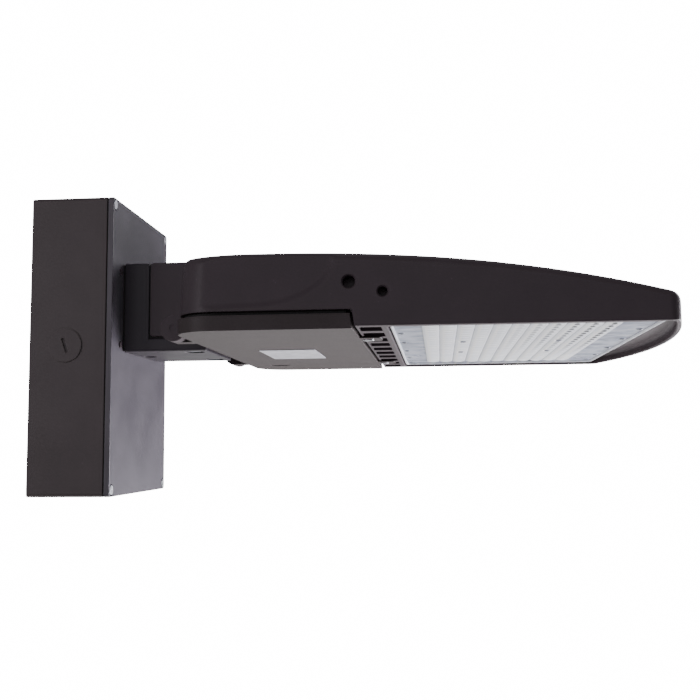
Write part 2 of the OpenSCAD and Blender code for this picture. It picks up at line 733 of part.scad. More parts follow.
// as wide as the driver, with the surge protector beside it and the screws past both
tray_w = driver_len + 90;
tray_screw_d = 4;
tray_screw_xy = [for (i = [-1, 1]) for (x = [tray_x + 7, tray_x + tray_len - 7]) [x, i * (tray_w / 2 - 8)]];
driver_x = tray_x + tray_len - driver_w - 4;
driver_y = 22 - tray_w / 2;
surge_y = driver_y + driver_len + 20;
foot = 9;
module driver_tray() {
  color([0.7, 0.71, 0.72]) difference() {
    flat_plate(tray_x, tray_z, tray_len, tray_w, tray_t, 4);
    for (p = tray_screw_xy) rod(p[0], p[1], tray_z - 1, tray_screw_d + play, 4);
    for (p = driver_screw_xy) rod(p[0], p[1], tray_z - 1, tray_screw_d + play, 4);
  }
}
module tray_screws() {
  color(zinc) for (p = tray_screw_xy) translate([p[0], p[1], tray_z]) screw_up(tray_screw_d, 11, 7.4, 2.6, 48);
}
driver_screw_xy = concat(
  [for (y = [driver_y - foot / 2, driver_y + driver_len + foot / 2])
    for (x = [driver_x + 12, driver_x + driver_w - 12]) [x, y]],
  [for (y = [surge_y - 5, surge_y + 41]) [driver_x + driver_w / 2, y]]);
module driver() {
  z = tray_z - driver_h;
  color([0.8, 0.8, 0.79]) difference() {
    union() {
      block(driver_x, driver_y, z, driver_w, driver_len, driver_h);
      block(driver_x, driver_y - foot, tray_z - 2.5, driver_w, driver_len + 2 * foot, 2.5);
    }
    for (p = driver_screw_xy) rod(p[0], p[1], tray_z - 4, tray_screw_d + play, 6);
  }
}
module driver_screws() {
  color(zinc) for (p = driver_screw_xy) translate([p[0], p[1], tray_z - 2.5])
    screw_up(tray_screw_d, 4 + play, 7.4, 2.6, 48);
}
module surge_protector() {
  color([0.2, 0.2, 0.22]) difference() {
    union() {
      block(driver_x + 10, surge_y, tray_z - 28, driver_w - 20, 36, 28);
      block(driver_x + driver_w / 2 - 8, surge_y - 10, tray_z - 2.5, 16, 56, 2.5);
    }
    for (p = driver_screw_xy) rod(p[0], p[1], tray_z - 4, tray_screw_d + play, 6);
  }
}
terminal_x = tray_x + 3;
terminal_w = 18;
terminal_len = 44;
module terminal_block() {
  color([0.9, 0.9, 0.86]) difference() {
    block(terminal_x, -terminal_len / 2, tray_z - 20, terminal_w, terminal_len, 20);
    for (i = [-1:1]) rod(terminal_x + terminal_w / 2, i * 13, tray_z - 21, 6, 5);
  }
}
module terminal_screws() {
  color([0.78, 0.68, 0.35]) for (i = [-1:1]) {
    rod(terminal_x + terminal_w / 2, i * 13, tray_z - 19, 6 - play, 3);
  }
}

// ---------- wiring ----------
cable_d = 8;
cable_end_x = 40;
cable_route = [[terminal_x, 0, tray_z - 9], [terminal_x - 3, 0, tray_z - 9],
               [rear_x + 4, 0, channel_z + 4], [neck_x + 30, 0, channel_z + 1], [neck_x, 0, channel_z],
               [plate_x, 0, channel_z], [62, 0, channel_z], [54, 0, channel_z - 3],
               [47, 0, channel_z - 9], [42, 0, channel_z - 18], [cable_end_x, 0, channel_z - 30],
               [cable_end_x, 0, -20]];
module supply_cable() { color(rubber_black) tube(cable_route, cable_d, 10); }
lead_d = 2.6;
module supply_leads() {
  for (i = [-1:1]) {
    color([[0.9, 0.9, 0.9], [0.1, 0.1, 0.1], [0.15, 0.45, 0.2]][i + 1])
      tube([[cable_end_x, i * 2.9, -20], [cable_end_x, i * 2.9, -23], [cable_end_x, i * 3.4, -29],
            [cable_end_x - 1, i * 6, -38], [cable_end_x - 2, i * 10, -50], [cable_end_x - 3, i * 12, -62],
            [cable_end_x - 3, i * 12, -70]], lead_d);
  }
}
// from the terminal block to the driver's near end
module driver_leads() {
  x = terminal_x + terminal_w;
  gap = driver_x - x;
  for (i = [0, 1]) {
    y = -7 - 9 * i;
    color([[0.12, 0.12, 0.13], [0.92, 0.92, 0.9]][i])
      tube([[x, y, tray_z - 9], [x + 0.17 * gap, y, tray_z - 9], [x + 0.38 * gap, y - 2, tray_z - 10],
            [x + 0.6 * gap, y - 5, tray_z - 11.5], [x + 0.8 * gap, y - 7, tray_z - 12],
            [driver_x, y - 7, tray_z - 12]], lead_d);
  }
}
// from the driver through the grommet and the grille's middle bar, down to the lamp board
module lamp_leads() {
  start = driver_x + driver_w;
  for (i = [-1, 1]) {
    y = i * lead_apart;
    color(i < 0 ? [0.75, 0.12, 0.1] : [0.12, 0.12, 0.13])
      tube([[start, y, lead_z + 8], [start + 3, y, lead_z + 8], [start + 7, y, lead_z + 6],
            [start + 11, y, lead_z + 2], [start + 15, y, lead_z + 0.3], [grille_x - 3, y, lead_z],
            [grille_x + 8, y, lead_z], [window_x, y, lead_z], [lead_down_x - 3, y, lead_z],
            [lead_down_x - 0.8, y, lead_z - 0.8], [lead_down_x, y, lead_z - 3],
            [lead_down_x, y, floor_z]], lamp_lead_d, 8);
  }
}
module lead_grommet() {
  color(rubber_black) difference() {
    union() {
      rod_x(grille_x - 1, 0, lead_z, lead_hole_d - play, 8);
      rod_x(grille_x - 1.6, 0, lead_z, lead_hole_d + 4, 1.6);
    }
    for (i = [-1, 1]) rod_x(grille_x - 5, i * lead_apart, lead_z, lamp_lead_d + 0.2, 14);
  }
}

// ---------- lamp ----------
lens_row_x = [for (i = [0:lens_rows - 1]) lens_mid + (i - (lens_rows - 1) / 2) * lens_pitch];
lens_screw_d = 3.5;
edge_y = window_w / 2 - 11.5;
// screws that stand in the middle of the lens field, each in the place of a lens
field_posts = [for (j = [-1, 1]) for (i = [-1, 1]) [lens_mid + i * 3 * lens_pitch, j * 3.5 * lens_pitch]];
lens_screw_xy = concat(
  [for (x = [window_x + 4.8, window_front - 6.4]) for (j = [-1, 1])
    for (k = [0.21, 0.617, 1]) [x, j * k * edge_y]],
  [for (j = [-1, 1]) for (i = [-1, 1]) for (k = [-1, 1]) [lens_mid + i * 29.8 + k * 5.2, j * edge_y]],
  field_posts);
module lens_screw_holes(z, t, d) { for (p = lens_screw_xy) rod(p[0], p[1], z, d, t); }
board_half = edge_y - 5;
module lamp_board() {
  color([0.93, 0.94, 0.95]) difference() {
    flat_plate(window_x + 10, floor_z - board_t, window_len - 19, 2 * board_half, board_t, 2);
    lens_screw_holes(floor_z - board_t - 1, board_t + 2, lens_screw_d + 0.6);
  }
}
row_half = (lens_columns / 2 - 0.5) * lens_pitch;
ridge_half = row_half + lens_d / 2;
module lamp_chips() {
  color([0.95, 0.85, 0.45]) for (x = lens_row_x) {
    for (j = [-1, 1]) {
      near = abs(abs(x - lens_mid) - 3 * lens_pitch) < 1;
      cut = 3.5 * lens_pitch;
      if (near) {
        block(x - 1.3, j > 0 ? 4 : -cut + 4, floor_z - board_t - chip_t, 2.6, cut - 8, chip_t);
        block(x - 1.3, j > 0 ? cut + 4 : -row_half - 1.3, floor_z - board_t - chip_t, 2.6,
              row_half - cut - 2.7, chip_t);
      } else {
        block(x - 1.3, j > 0 ? 4 : -row_half - 1.3, floor_z - board_t - chip_t, 2.6, row_half - 2.7, chip_t);
      }
    }
  }
}
module lens_gasket() {
  color([0.75, 0.75, 0.76]) difference() {
    flat_plate(window_x + 1.5, gasket_z, window_len - 3, window_w - 3, floor_z - gasket_z, 5);
    flat_plate(window_x + 9, gasket_z - 1, window_len - 17, 2 * board_half + 2, floor_z - gasket_z + 2, 3);
    lens_screw_holes(gasket_z - 1, floor_z - gasket_z + 2, lens_screw_d + 0.6);
  }
}
// clear moulded plate: a flat flange and a raised ridge of lenses for each row
module lens_plate() {
  ridge_r = (lens_d * lens_d / 4 + lens_rise * lens_rise) / (2 * lens_rise);
  color(clear_blue) difference() {
    union() {
      flat_plate(window_x + 0.8, window_z, window_len - 1.6, window_w - 1.4, lens_t, 5.6);
      intersection() {
        union() {
          for (x = lens_row_x) {
            rod_y(x, -ridge_half, window_z - lens_rise + ridge_r, 2 * ridge_r, 2 * ridge_half);
          }
        }
        block(window_x, -ridge_half, window_z - lens_rise, window_len, 2 * ridge_half, lens_rise + 0.5);
      }
      for (p = field_posts) rod(p[0], p[1], gasket_z - eps, 7, floor_z - board_t - gasket_z);
    }
    lens_screw_holes(window_z - 3, 12, lens_screw_d + 0.2);
    for (p = field_posts) rod(p[0], p[1], window_z - 3, 9, 3);
  }
}
module lens_screws() {
  color(zinc) for (p = lens_screw_xy) translate([p[0], p[1], window_z])
    screw_up(lens_screw_d, floor_z - window_z + 4, 6.4, 1.3, 48);
}

wall_box();
box_gasket();
box_cover();
cover_screws();
conduit_plugs();
ground_screw();
backing_plate();
plate_rivets();
arm_bolts();
arm_washers();
wire_bushing();
arm_gasket();
arm();
neck_gasket();
neck_bolts();
neck_washers();
housing();
hinge_pins();
driver_door();
door_gasket();
door_screws();
door_screw_retainers();
label_plate();
driver_tray();
tray_screws();
driver();
driver_screws();
surge_protector();
terminal_block();
terminal_screws();
supply_cable();
supply_leads();
driver_leads();
lamp_leads();
lead_grommet();
lamp_board();
lamp_chips();
lens_gasket();
lens_plate();
lens_screws();
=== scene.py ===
# %% [markdown]
# # A shoebox area light on its wall box
#
# The real light is a die-cast aluminium head bolted through a short arm to a cast wall box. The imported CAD
# model gives every piece its place and size. This lesson keeps those places and gives each visible piece
# the shape of its surface: rounded casting edges, a smooth lofted shell, moulded lenses and paint.
# Everything is worked out in millimetres, as in the workshop, and turned to metres when a mesh is made.

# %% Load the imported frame
import json
import math

import bmesh
import bpy
import numpy as np
from mathutils import Matrix, Vector

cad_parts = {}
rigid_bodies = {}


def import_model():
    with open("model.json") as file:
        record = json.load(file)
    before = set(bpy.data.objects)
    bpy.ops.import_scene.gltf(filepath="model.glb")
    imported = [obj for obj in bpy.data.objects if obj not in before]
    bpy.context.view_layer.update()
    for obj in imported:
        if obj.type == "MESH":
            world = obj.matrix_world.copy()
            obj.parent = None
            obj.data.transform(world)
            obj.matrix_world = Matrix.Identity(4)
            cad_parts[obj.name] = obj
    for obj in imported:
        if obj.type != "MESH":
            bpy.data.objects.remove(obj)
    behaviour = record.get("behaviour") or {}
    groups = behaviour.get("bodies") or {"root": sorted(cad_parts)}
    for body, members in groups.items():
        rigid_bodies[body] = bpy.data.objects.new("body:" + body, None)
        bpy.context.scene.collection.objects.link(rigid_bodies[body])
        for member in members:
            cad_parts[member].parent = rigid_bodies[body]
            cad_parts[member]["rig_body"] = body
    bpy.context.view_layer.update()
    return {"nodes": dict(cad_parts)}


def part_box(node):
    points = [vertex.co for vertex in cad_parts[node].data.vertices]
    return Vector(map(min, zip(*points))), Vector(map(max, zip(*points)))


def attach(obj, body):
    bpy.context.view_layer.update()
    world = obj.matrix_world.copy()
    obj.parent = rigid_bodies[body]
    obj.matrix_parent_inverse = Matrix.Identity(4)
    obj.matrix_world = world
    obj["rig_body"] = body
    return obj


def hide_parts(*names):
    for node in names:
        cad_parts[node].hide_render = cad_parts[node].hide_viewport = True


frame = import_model()
NODES = frame["nodes"]
MM = 0.001

# %% [markdown]
# ## The view
#
# The camera stands where the photograph was taken: a little below the head, looking up by 5.6 degrees,
# with a lens of 49 mm. Only then do the underside and the falling side edge line up with the picture.

# %% Set the camera
CAMERA_AT = Vector((344.8, -850.1, -84.6)) * MM
YAW, PITCH, ROLL = (math.radians(a) for a in (5.352, 5.649, -0.442))
FOCAL_PIXELS, PICTURE_PIXELS, SENSOR = 950.5, 700, 36


def camera_turn():
    level_right = Vector((math.cos(YAW), math.sin(YAW), 0))
    level_ahead = Vector((-math.sin(YAW), math.cos(YAW), 0))
    up = Vector((0, 0, 1))
    ahead = level_ahead * math.cos(PITCH) + up * math.sin(PITCH)
    tilted_up = up * math.cos(PITCH) - level_ahead * math.sin(PITCH)
    right = level_right * math.cos(ROLL) + tilted_up * math.sin(ROLL)
    top = tilted_up * math.cos(ROLL) - level_right * math.sin(ROLL)
    return Matrix((right, top, -ahead)).transposed().to_4x4()


camera_data = bpy.data.cameras.new("photo_camera")
camera_data.sensor_width = SENSOR
camera_data.lens = FOCAL_PIXELS * SENSOR / PICTURE_PIXELS
camera_data.clip_start = 0.01
camera = bpy.data.objects.new("photo_camera", camera_data)
camera.matrix_world = Matrix.Translation(CAMERA_AT) @ camera_turn()
bpy.context.scene.collection.objects.link(camera)
bpy.context.scene.camera = camera
print("lens", round(camera_data.lens, 2), "mm")

# %% [markdown]
# ## The studio
#
# The photograph is a product shot cut out on pure white. The faces that look down and the front of the box's
# cover are the brightest, so the strongest light is a box low beyond the nose. The side towards the camera is
# dark, so only weak boxes stand there. The sweep and the air are pure white to the camera, and only mildly
# bright to the object.

# %% Tools for the studio
PAPER_WHITE = 16.0
PAPER_GREY = (0.4, 0.4, 0.41)
AIR_TINT, AIR_STRENGTH = (0.96, 0.97, 1, 1), 0.22


def white_to_camera(tree, other, output):
    """Show pure white to the camera, and the other shader to every other ray."""
    seen = tree.nodes.new("ShaderNodeLightPath").outputs["Is Camera Ray"]
    kind = "ShaderNodeBackground" if output.bl_idname == "ShaderNodeOutputWorld" else "ShaderNodeEmission"
    paper = tree.nodes.new(kind)
    paper.inputs["Color"].default_value = (1, 1, 1, 1)
    paper.inputs["Strength"].default_value = PAPER_WHITE
    mixed = tree.nodes.new("ShaderNodeMixShader")
    tree.links.new(seen, mixed.inputs["Fac"])
    tree.links.new(other, mixed.inputs[1])
    tree.links.new(paper.outputs[0], mixed.inputs[2])
    tree.links.new(mixed.outputs[0], output.inputs["Surface"])


def sweep(name, front, back, low, high, half, radius, steps=12):
    """A floor that curves up into a backdrop, as a roll of paper does."""
    line = [(front, low)]
    for i in range(steps + 1):
        turn = math.radians(90 * i / steps)
        line.append((back - radius + radius * math.sin(turn), low + radius - radius * math.cos(turn)))
    line.append((back, high))
    points = [(x, y, z) for y, z in line for x in (-half, half)]
    faces = [(2 * i, 2 * i + 1, 2 * i + 3, 2 * i + 2) for i in range(len(line) - 1)]
    mesh = bpy.data.meshes.new(name)
    mesh.from_pydata(points, [], faces)
    mesh.shade_smooth()
    made = bpy.data.objects.new(name, mesh)
    bpy.context.scene.collection.objects.link(made)
    paper = bpy.data.materials.new("studio_paper")
    paper.use_nodes = True
    tree = paper.node_tree
    shader = tree.nodes["Principled BSDF"]
    shader.inputs["Base Color"].default_value = (*PAPER_GREY, 1)
    shader.inputs["Roughness"].default_value = 0.9
    white_to_camera(tree, shader.outputs[0], tree.nodes["Material Output"])
    mesh.materials.append(paper)
    return made


def soft_box(name, at, towards, size, watts, tint=(1, 1, 1)):
    """A square light, hidden from the camera; places and sizes are in metres."""
    data = bpy.data.lights.new(name, "AREA")
    data.shape = "RECTANGLE"
    data.size, data.size_y = size
    data.energy = watts
    data.color = tint
    light = bpy.data.objects.new(name, data)
    light.location = at
    light.rotation_euler = (Vector(towards) - Vector(at)).to_track_quat("-Z", "Y").to_euler()
    light.visible_camera = False
    bpy.context.scene.collection.objects.link(light)


print("the paper is", PAPER_GREY, "to the object")

# %% Build the sweep and the lights
floor = sweep("studio_sweep", front=-6.0, back=4.5, low=-1.9, high=6.0, half=9.0, radius=1.5)
soft_box("low_box", (0.30, 0.40, -0.70), (0.32, 0.20, 0.0), (1.7, 1.2), 12.5, (1, 0.985, 0.97))
soft_box("back_card", (0.35, 2.2, -0.42), (0.35, 0.0, -0.1), (3.6, 0.5), 3.5, (0.97, 0.98, 1))
soft_box("right_box", (1.35, 0.6, -0.42), (0.07, 0.0, -0.08), (0.9, 0.7), 42, (0.97, 0.95, 1))
soft_box("high_box", (1.3, 0.9, 0.5), (0.07, 0.0, 0.1), (0.9, 0.6), 11, (0.96, 0.94, 1))
soft_box("side_box", (0.2, -2.4, 0.6), (0.40, 0, 0), (2.4, 1.4), 8.5, (1, 0.95, 0.99))
soft_box("left_box", (-1.7, -1.6, 0.1), (0.1, -0.1, 0), (0.9, 1.2), 12, (1, 0.96, 1))
soft_box("top_box", (0.3, 0.6, 2.4), (0.3, 0, 0), (2.4, 2.0), 6)
world = bpy.data.worlds.new("studio_air")
world.use_nodes = True
air = world.node_tree.nodes["Background"]
air.inputs["Color"].default_value = AIR_TINT
air.inputs["Strength"].default_value = AIR_STRENGTH
white_to_camera(world.node_tree, air.outputs[0], world.node_tree.nodes["World Output"])
bpy.context.scene.world = world

# %% [markdown]
# ## Finishes
#
# Every finish starts from what the real surface is and how it was made. Colours are written as the sRGB hex
# values one would read off a swatch, and one function turns them to the linear values that Cycles needs.
# Pattern sizes come from real sizes in millimetres, through `per_mm`.

# %% Tools for making materials


def colour(swatch):
    """sRGB hex, such as "3d373a", to linear red, green, blue and alpha."""
    values = [int(swatch[i:i + 2], 16) / 255 for i in (0, 2, 4)]
    linear = [v / 12.92 if v <= 0.04045 else ((v + 0.055) / 1.055) ** 2.4 for v in values]
    return (*linear, 1.0)


def per_mm(size):
    """The scale of a texture on Object coordinates whose grains are `size` millimetres across."""
    return 1 / (size * MM)


def add(tree, kind, links=None, **settings):
    """Add one node, set its properties, and set or link its inputs by name or number."""
    node = tree.nodes.new(kind)
    for key, value in settings.items():
        setattr(node, key, value)
    for key, value in (links or {}).items():
        socket = node.inputs[key]
        if isinstance(value, bpy.types.NodeSocket):
            tree.links.new(value, socket)
        else:
            socket.default_value = value
    return node


def calculated(tree, operation, *values):
    return add(tree, "ShaderNodeMath", dict(enumerate(values)), operation=operation).outputs[0]


def blank_material(name, **values):
    """A Principled material with its constant values on the shader's own sockets."""
    material = bpy.data.materials.new(name)
    material.use_nodes = True
    tree = material.node_tree
    shader = tree.nodes["Principled BSDF"]
    for key, value in values.items():
        shader.inputs[key.replace("_", " ")].default_value = value
    place = add(tree, "ShaderNodeTexCoord").outputs["Object"]
    return material, tree, shader, place


def grain(tree, place, size, detail=3.0, rough=0.6):
    """Noise whose grains are `size` millimetres across."""
    links = {"Vector": place, "Scale": per_mm(size), "Detail": detail, "Roughness": rough}
    return add(tree, "ShaderNodeTexNoise", links).outputs["Fac"]


def blend_colours(tree, factor, dark, light, low=0.35, high=0.65):
    """Two swatches mixed by a pattern, over the part of its range from low to high."""
    ramp = add(tree, "ShaderNodeValToRGB", {"Fac": factor})
    ramp.color_ramp.elements[0].position = low
    ramp.color_ramp.elements[1].position = high
    ramp.color_ramp.elements[0].color = colour(dark)
    ramp.color_ramp.elements[1].color = colour(light)
    return ramp.outputs["Color"]


def spread(tree, factor, low, high):
    """A pattern's 0 to 1 turned to low to high."""
    return add(tree, "ShaderNodeMapRange", {"Value": factor, "To Min": low, "To Max": high}).outputs["Result"]


def relief(tree, shader, height, depth, strength=1.0):
    """Bump of `depth` millimetres."""
    links = {"Height": height, "Distance": depth * MM, "Strength": strength}
    tree.links.new(add(tree, "ShaderNodeBump", links).outputs["Normal"], shader.inputs["Normal"])


print("dark bronze reads as", [round(v, 3) for v in colour("3d3739")[:3]])

# %% [markdown]
# ### Powder coat
#
# The castings and the wall box are aluminium under dark bronze polyester powder, sprayed dry and baked. The
# powder melts into a skin with a slight orange peel about 2 mm across, with finer grain in it, over broad
# patches that differ a little in colour. The door's cast face was left rough, so its coat is closer, bumpier
# and duller.

# %% Powder coats
PATCH_SIZE, PEEL_SHARE, FINE_SHARE = 38.0, 0.7, 0.3


def powder_coat(name, dark, light, peel, depth, roughness, sheen=0.3, fine=0.35):
    """Powder paint with peel and fine grain in millimetres and a relief of `depth` millimetres."""
    material, tree, shader, place = blank_material(name, Roughness=roughness, IOR=1.5, Specular_IOR_Level=sheen)
    broad = grain(tree, place, PATCH_SIZE, 2.0)
    tree.links.new(blend_colours(tree, broad, dark, light), shader.inputs["Base Color"])
    skin = grain(tree, place, peel, 2.0, 0.5)
    speck = grain(tree, place, fine, 1.0, 0.5)
    height = calculated(tree, "MULTIPLY_ADD", speck, FINE_SHARE, calculated(tree, "MULTIPLY", skin, PEEL_SHARE))
    relief(tree, shader, height, depth)
    tree.links.new(spread(tree, broad, roughness - 0.05, roughness + 0.06), shader.inputs["Roughness"])
    return material


casting_coat = powder_coat("powder_coat_on_casting", "3f353b", "443a40", 1.6, 0.05, 0.46)
box_coat = powder_coat("powder_coat_on_box", "463d3f", "4b4244", 2.2, 0.04, 0.42, 0.45)
# Painted light: the cover has the box's dark bronze, painted lighter and bluer for the strong light on its
# front.
lit_cover_coat = powder_coat("powder_coat_on_cover_painted_lit", "504c54", "57535b", 2.4, 0.03, 0.34, 0.5)
door_coat = powder_coat("textured_coat_on_door", "372f30", "3d3537", 1.0, 0.16, 0.5)
arm_coat = powder_coat("powder_coat_on_arm", "342f36", "39343b", 2.0, 0.03, 0.4, 0.3)
print("powder coats made")

# %% [markdown]
# ### Metals, rubber and plastics
#
# Screws and washers are steel with a thin zinc plate that has gone slightly cloudy. Gaskets are EPDM rubber,
# and the lens seal is clear silicone. The lamp board is aluminium under white solder mask.

# %% Metals


def plated_metal(name, dark, light, roughness, cloud=3.0):
    material, tree, shader, place = blank_material(name, Metallic=1.0, Roughness=roughness)
    clouds = grain(tree, place, cloud)
    tree.links.new(blend_colours(tree, clouds, dark, light), shader.inputs["Base Color"])
    tree.links.new(spread(tree, clouds, roughness - 0.06, roughness + 0.1), shader.inputs["Roughness"])
    relief(tree, shader, grain(tree, place, 0.5, 2.0), 0.01)
    return material


zinc_plate = plated_metal("zinc_plated_steel", "a9abaf", "cfd1d4", 0.3)
# On the neck bolts this dark steel is painted shade for their access holes.
dark_zinc = plated_metal("dark_zinc_steel_and_hole_shade", "5d6068", "8b8e96", 0.3)
zinc_sheet = plated_metal("zinc_plated_sheet", "9c9ea1", "bcbec1", 0.38, 12.0)
driver_case = plated_metal("driver_case_aluminium", "b4b4b2", "c8c8c6", 0.42, 20.0)
stainless = plated_metal("stainless_pin", "8f9093", "b2b3b6", 0.25)
brass = plated_metal("terminal_brass", "a8894a", "c8a862", 0.3)
green_screw_steel = plated_metal("green_dyed_steel", "1d5c33", "2e7d48", 0.35)
label_foil = plated_metal("matt_aluminium_foil", "b9b9c0", "cfcfd6", 0.5, 9.0)
print("metals made")

# %% Rubber, plastics and board


def moulded(name, dark, light, roughness, peel=0.8, depth=0.02, cloud=8.0, **values):
    material, tree, shader, place = blank_material(name, Roughness=roughness, **values)
    tree.links.new(blend_colours(tree, grain(tree, place, cloud), dark, light), shader.inputs["Base Color"])
    relief(tree, shader, grain(tree, place, peel, 2.0), depth)
    return material


gasket_rubber = moulded("epdm_rubber", "0b0b0c", "151516", 0.7, 0.5, 0.05)
silicone_rubber = moulded("clear_silicone", "d3d4dc", "e4e5ec", 0.35, 0.6, 0.03)
cable_jacket = moulded("cable_jacket_pvc", "121213", "1b1b1d", 0.45, 1.0, 0.03)
black_plastic = moulded("surge_case_abs", "19191b", "242427", 0.42)
ivory_plastic = moulded("terminal_block_nylon", "d9d7cb", "e8e6db", 0.4)
solder_mask = moulded("white_solder_mask", "e6e9ec", "f4f6f8", 0.3, 1.2, 0.01, 14.0)
chip_phosphor = moulded("chip_phosphor", "e9cf6a", "f3df8c", 0.3, 0.4, 0.01, 1.5)
lead_coats = {
    "white": moulded("white_lead_pvc", "dedede", "efefef", 0.35),
    "black": moulded("black_lead_pvc", "131314", "1c1c1e", 0.35),
    "green": moulded("green_lead_pvc", "1f6b36", "2b8346", 0.35),
    "red": moulded("red_lead_pvc", "8e1d18", "ad2a22", 0.35),
}
print("rubber, plastics and board made")

# %% [markdown]
# ### Moulded acrylic
#
# The lens plate is clear. Over a white board its colour is painted light and shade: a lit pale white where it
# is thick, and a cloudy blue-grey painted shade in its thin margins. A painted white highlight runs along each
# row, 3 mm to the rear of its crest. A small painted dark spot in the middle of each lens stands for the dark
# image seen in it, strongest in the near part of the rows at the nose, which are seen from further aside.

# %% Acrylic
lens_low, lens_high = (Vector(corner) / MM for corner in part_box("lens_plate"))
ROW_PITCH, ROWS, LENS_PITCH, COLUMNS = 13.3, 11, 15.06, 21
LENS_MID = (lens_low.x + lens_high.x) / 2 - 2.3
FLANGE_Z, LIP_Z = lens_low.z + 2.5, lens_low.z + 0.8
RIDGE_STARTS = (FLANGE_Z - 0.05) * MM, (FLANGE_Z - 0.6) * MM
# Where the painted white highlight runs along each row, and how sharp its edges are.
HIGHLIGHT_BACK, HIGHLIGHT_EDGE = 3.0, (1.8 * MM, 0.5 * MM)
# Size and fade of the painted dark spots that stand for the dark image seen in each lens.
SPOT_EDGE, SPOT_STRETCH = (2.6 * MM, 1.5 * MM), 0.4
SPOTS_ALONG_X, SPOTS_ALONG_Y = (0.37, 0.475), (0.11, -0.09)


def ramped(tree, value, start, end):
    """0 at `start` to 1 at `end`, both in metres, and held outside them."""
    links = {"Value": value, "From Min": start, "From Max": end}
    return add(tree, "ShaderNodeMapRange", links, interpolation_type="SMOOTHSTEP").outputs["Result"]


def painted_chip_spots(tree, x, y, on_ridge):
    """1 where a painted dark spot sits in the middle of each lens, fading out towards the rear rows and the far
    side.
    """
    across = calculated(tree, "PINGPONG", calculated(tree, "SUBTRACT", x, LENS_MID * MM), ROW_PITCH / 2 * MM)
    along = calculated(tree, "PINGPONG", y, LENS_PITCH / 2 * MM)
    along = calculated(tree, "MULTIPLY", along, SPOT_STRETCH)
    square = calculated(tree, "MULTIPLY_ADD", across, across, calculated(tree, "MULTIPLY", along, along))
    spot = ramped(tree, calculated(tree, "SQRT", square), *SPOT_EDGE)
    share = calculated(tree, "MULTIPLY", ramped(tree, x, *SPOTS_ALONG_X), ramped(tree, y, *SPOTS_ALONG_Y))
    return calculated(tree, "MULTIPLY", calculated(tree, "MULTIPLY", spot, on_ridge), share)


def painted_highlight_streaks(tree, x, on_ridge):
    """1 along the painted highlight line to the rear of each ridge's crest."""
    beside = calculated(tree, "SUBTRACT", x, (LENS_MID - HIGHLIGHT_BACK) * MM)
    highlight_line = ramped(tree, calculated(tree, "PINGPONG", beside, ROW_PITCH / 2 * MM), *HIGHLIGHT_EDGE)
    return calculated(tree, "MULTIPLY", highlight_line, on_ridge)


def layered(tree, factor, under, over):
    return add(tree, "ShaderNodeMix", {"Factor": factor, 6: under, 7: over}, data_type="RGBA").outputs[2]


def lens_acrylic():
    material, tree, shader, place = blank_material("moulded_acrylic", Roughness=0.22, IOR=1.49, Alpha=0.92,
                                                   Specular_IOR_Level=0.42)
    # Painted shade and light: the thin margins take a blue-grey painted shade, the ridges a lit pale white.
    shaded_margin_tone = blend_colours(tree, grain(tree, place, 22.0, 3.0), "8b90a2", "bcc1cf")
    lit_ridge_tone = blend_colours(tree, grain(tree, place, 30.0, 2.0), "f0f3fb", "fafcff")
    x, y, z = add(tree, "ShaderNodeSeparateXYZ", {0: place}).outputs
    on_ridge = ramped(tree, z, *RIDGE_STARTS)
    body = layered(tree, on_ridge, shaded_margin_tone, lit_ridge_tone)
    # Painted highlight: a white line along each ridge.
    body = layered(tree, painted_highlight_streaks(tree, x, on_ridge), body, colour("ffffff"))
    # Painted dark spots: the dark image seen in each lens, painted in.
    seen = layered(tree, painted_chip_spots(tree, x, y, on_ridge), body, colour("30313a"))
    tree.links.new(seen, shader.inputs["Base Color"])
    relief(tree, shader, grain(tree, place, 9.0, 2.0), 0.06)
    return material


acrylic = lens_acrylic()
print("lens rows centred on X", round(LENS_MID, 1), "mm")

# %% [markdown]
# ## Making the pieces
#
# Three ways are used. A washer, a gasket or a tray already has its true shape in the CAD model and is only
# painted. A machined or cast piece with flat sides is `softened`: a merged copy gets a small bevel on each
# edge, which catches the light. The big castings are built as real solids: rings of points stacked from one
# end to the other, then carved and joined, as a die and its cores would do it.

# %% Tools for pieces
HARD_ANGLE, FLAT_ANGLE = math.radians(32), math.radians(0.6)
SAME_POINT, NO_LENGTH = 2e-6, 1e-6


def box_mm(node):
    low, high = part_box(node)
    return Vector(low) / MM, Vector(high) / MM


def finished(made, material, body):
    """Shading, material and the body that the piece rides on."""
    made.data.materials.clear()
    made.data.materials.append(material)
    made.data.shade_smooth()
    made.data.set_sharp_from_angle(angle=HARD_ANGLE)
    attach(made, body)
    return made


def from_points(name, points, faces):
    """An object from points in millimetres."""
    mesh = bpy.data.meshes.new(name)
    mesh.from_pydata([(x * MM, y * MM, z * MM) for x, y, z in points], [], faces)
    mesh.update()
    made = bpy.data.objects.new(name, mesh)
    bpy.context.scene.collection.objects.link(made)
    return made


def baked(made):
    """Apply the live modifiers to the mesh."""
    bpy.context.view_layer.update()
    result = bpy.data.meshes.new_from_object(made.evaluated_get(bpy.context.evaluated_depsgraph_get()))
    made.modifiers.clear()
    made.data = result
    return made


def edit(made, work_on):
    """Run a function on the object's bmesh."""
    work = bmesh.new()
    work.from_mesh(made.data)
    work_on(work)
    work.to_mesh(made.data)
    work.free()
    return made


def bevelled(made, width, segments=2, angle=38):
    """Round the edges that bend by more than `angle` degrees."""
    step = made.modifiers.new("edge", "BEVEL")
    step.width = width * MM
    step.segments = segments
    step.limit_method = "ANGLE"
    step.angle_limit = math.radians(angle)
    step.use_clamp_overlap = False
    step.miter_outer = "MITER_ARC"
    return baked(made)


def stands_for(made, node, material):
    """Shade a made piece, weigh its normals by face size, and let it stand for a CAD node."""
    finished(made, material, NODES[node]["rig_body"])
    made.modifiers.new("flat_faces", "WEIGHTED_NORMAL").keep_sharp = True
    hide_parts(node)
    return made


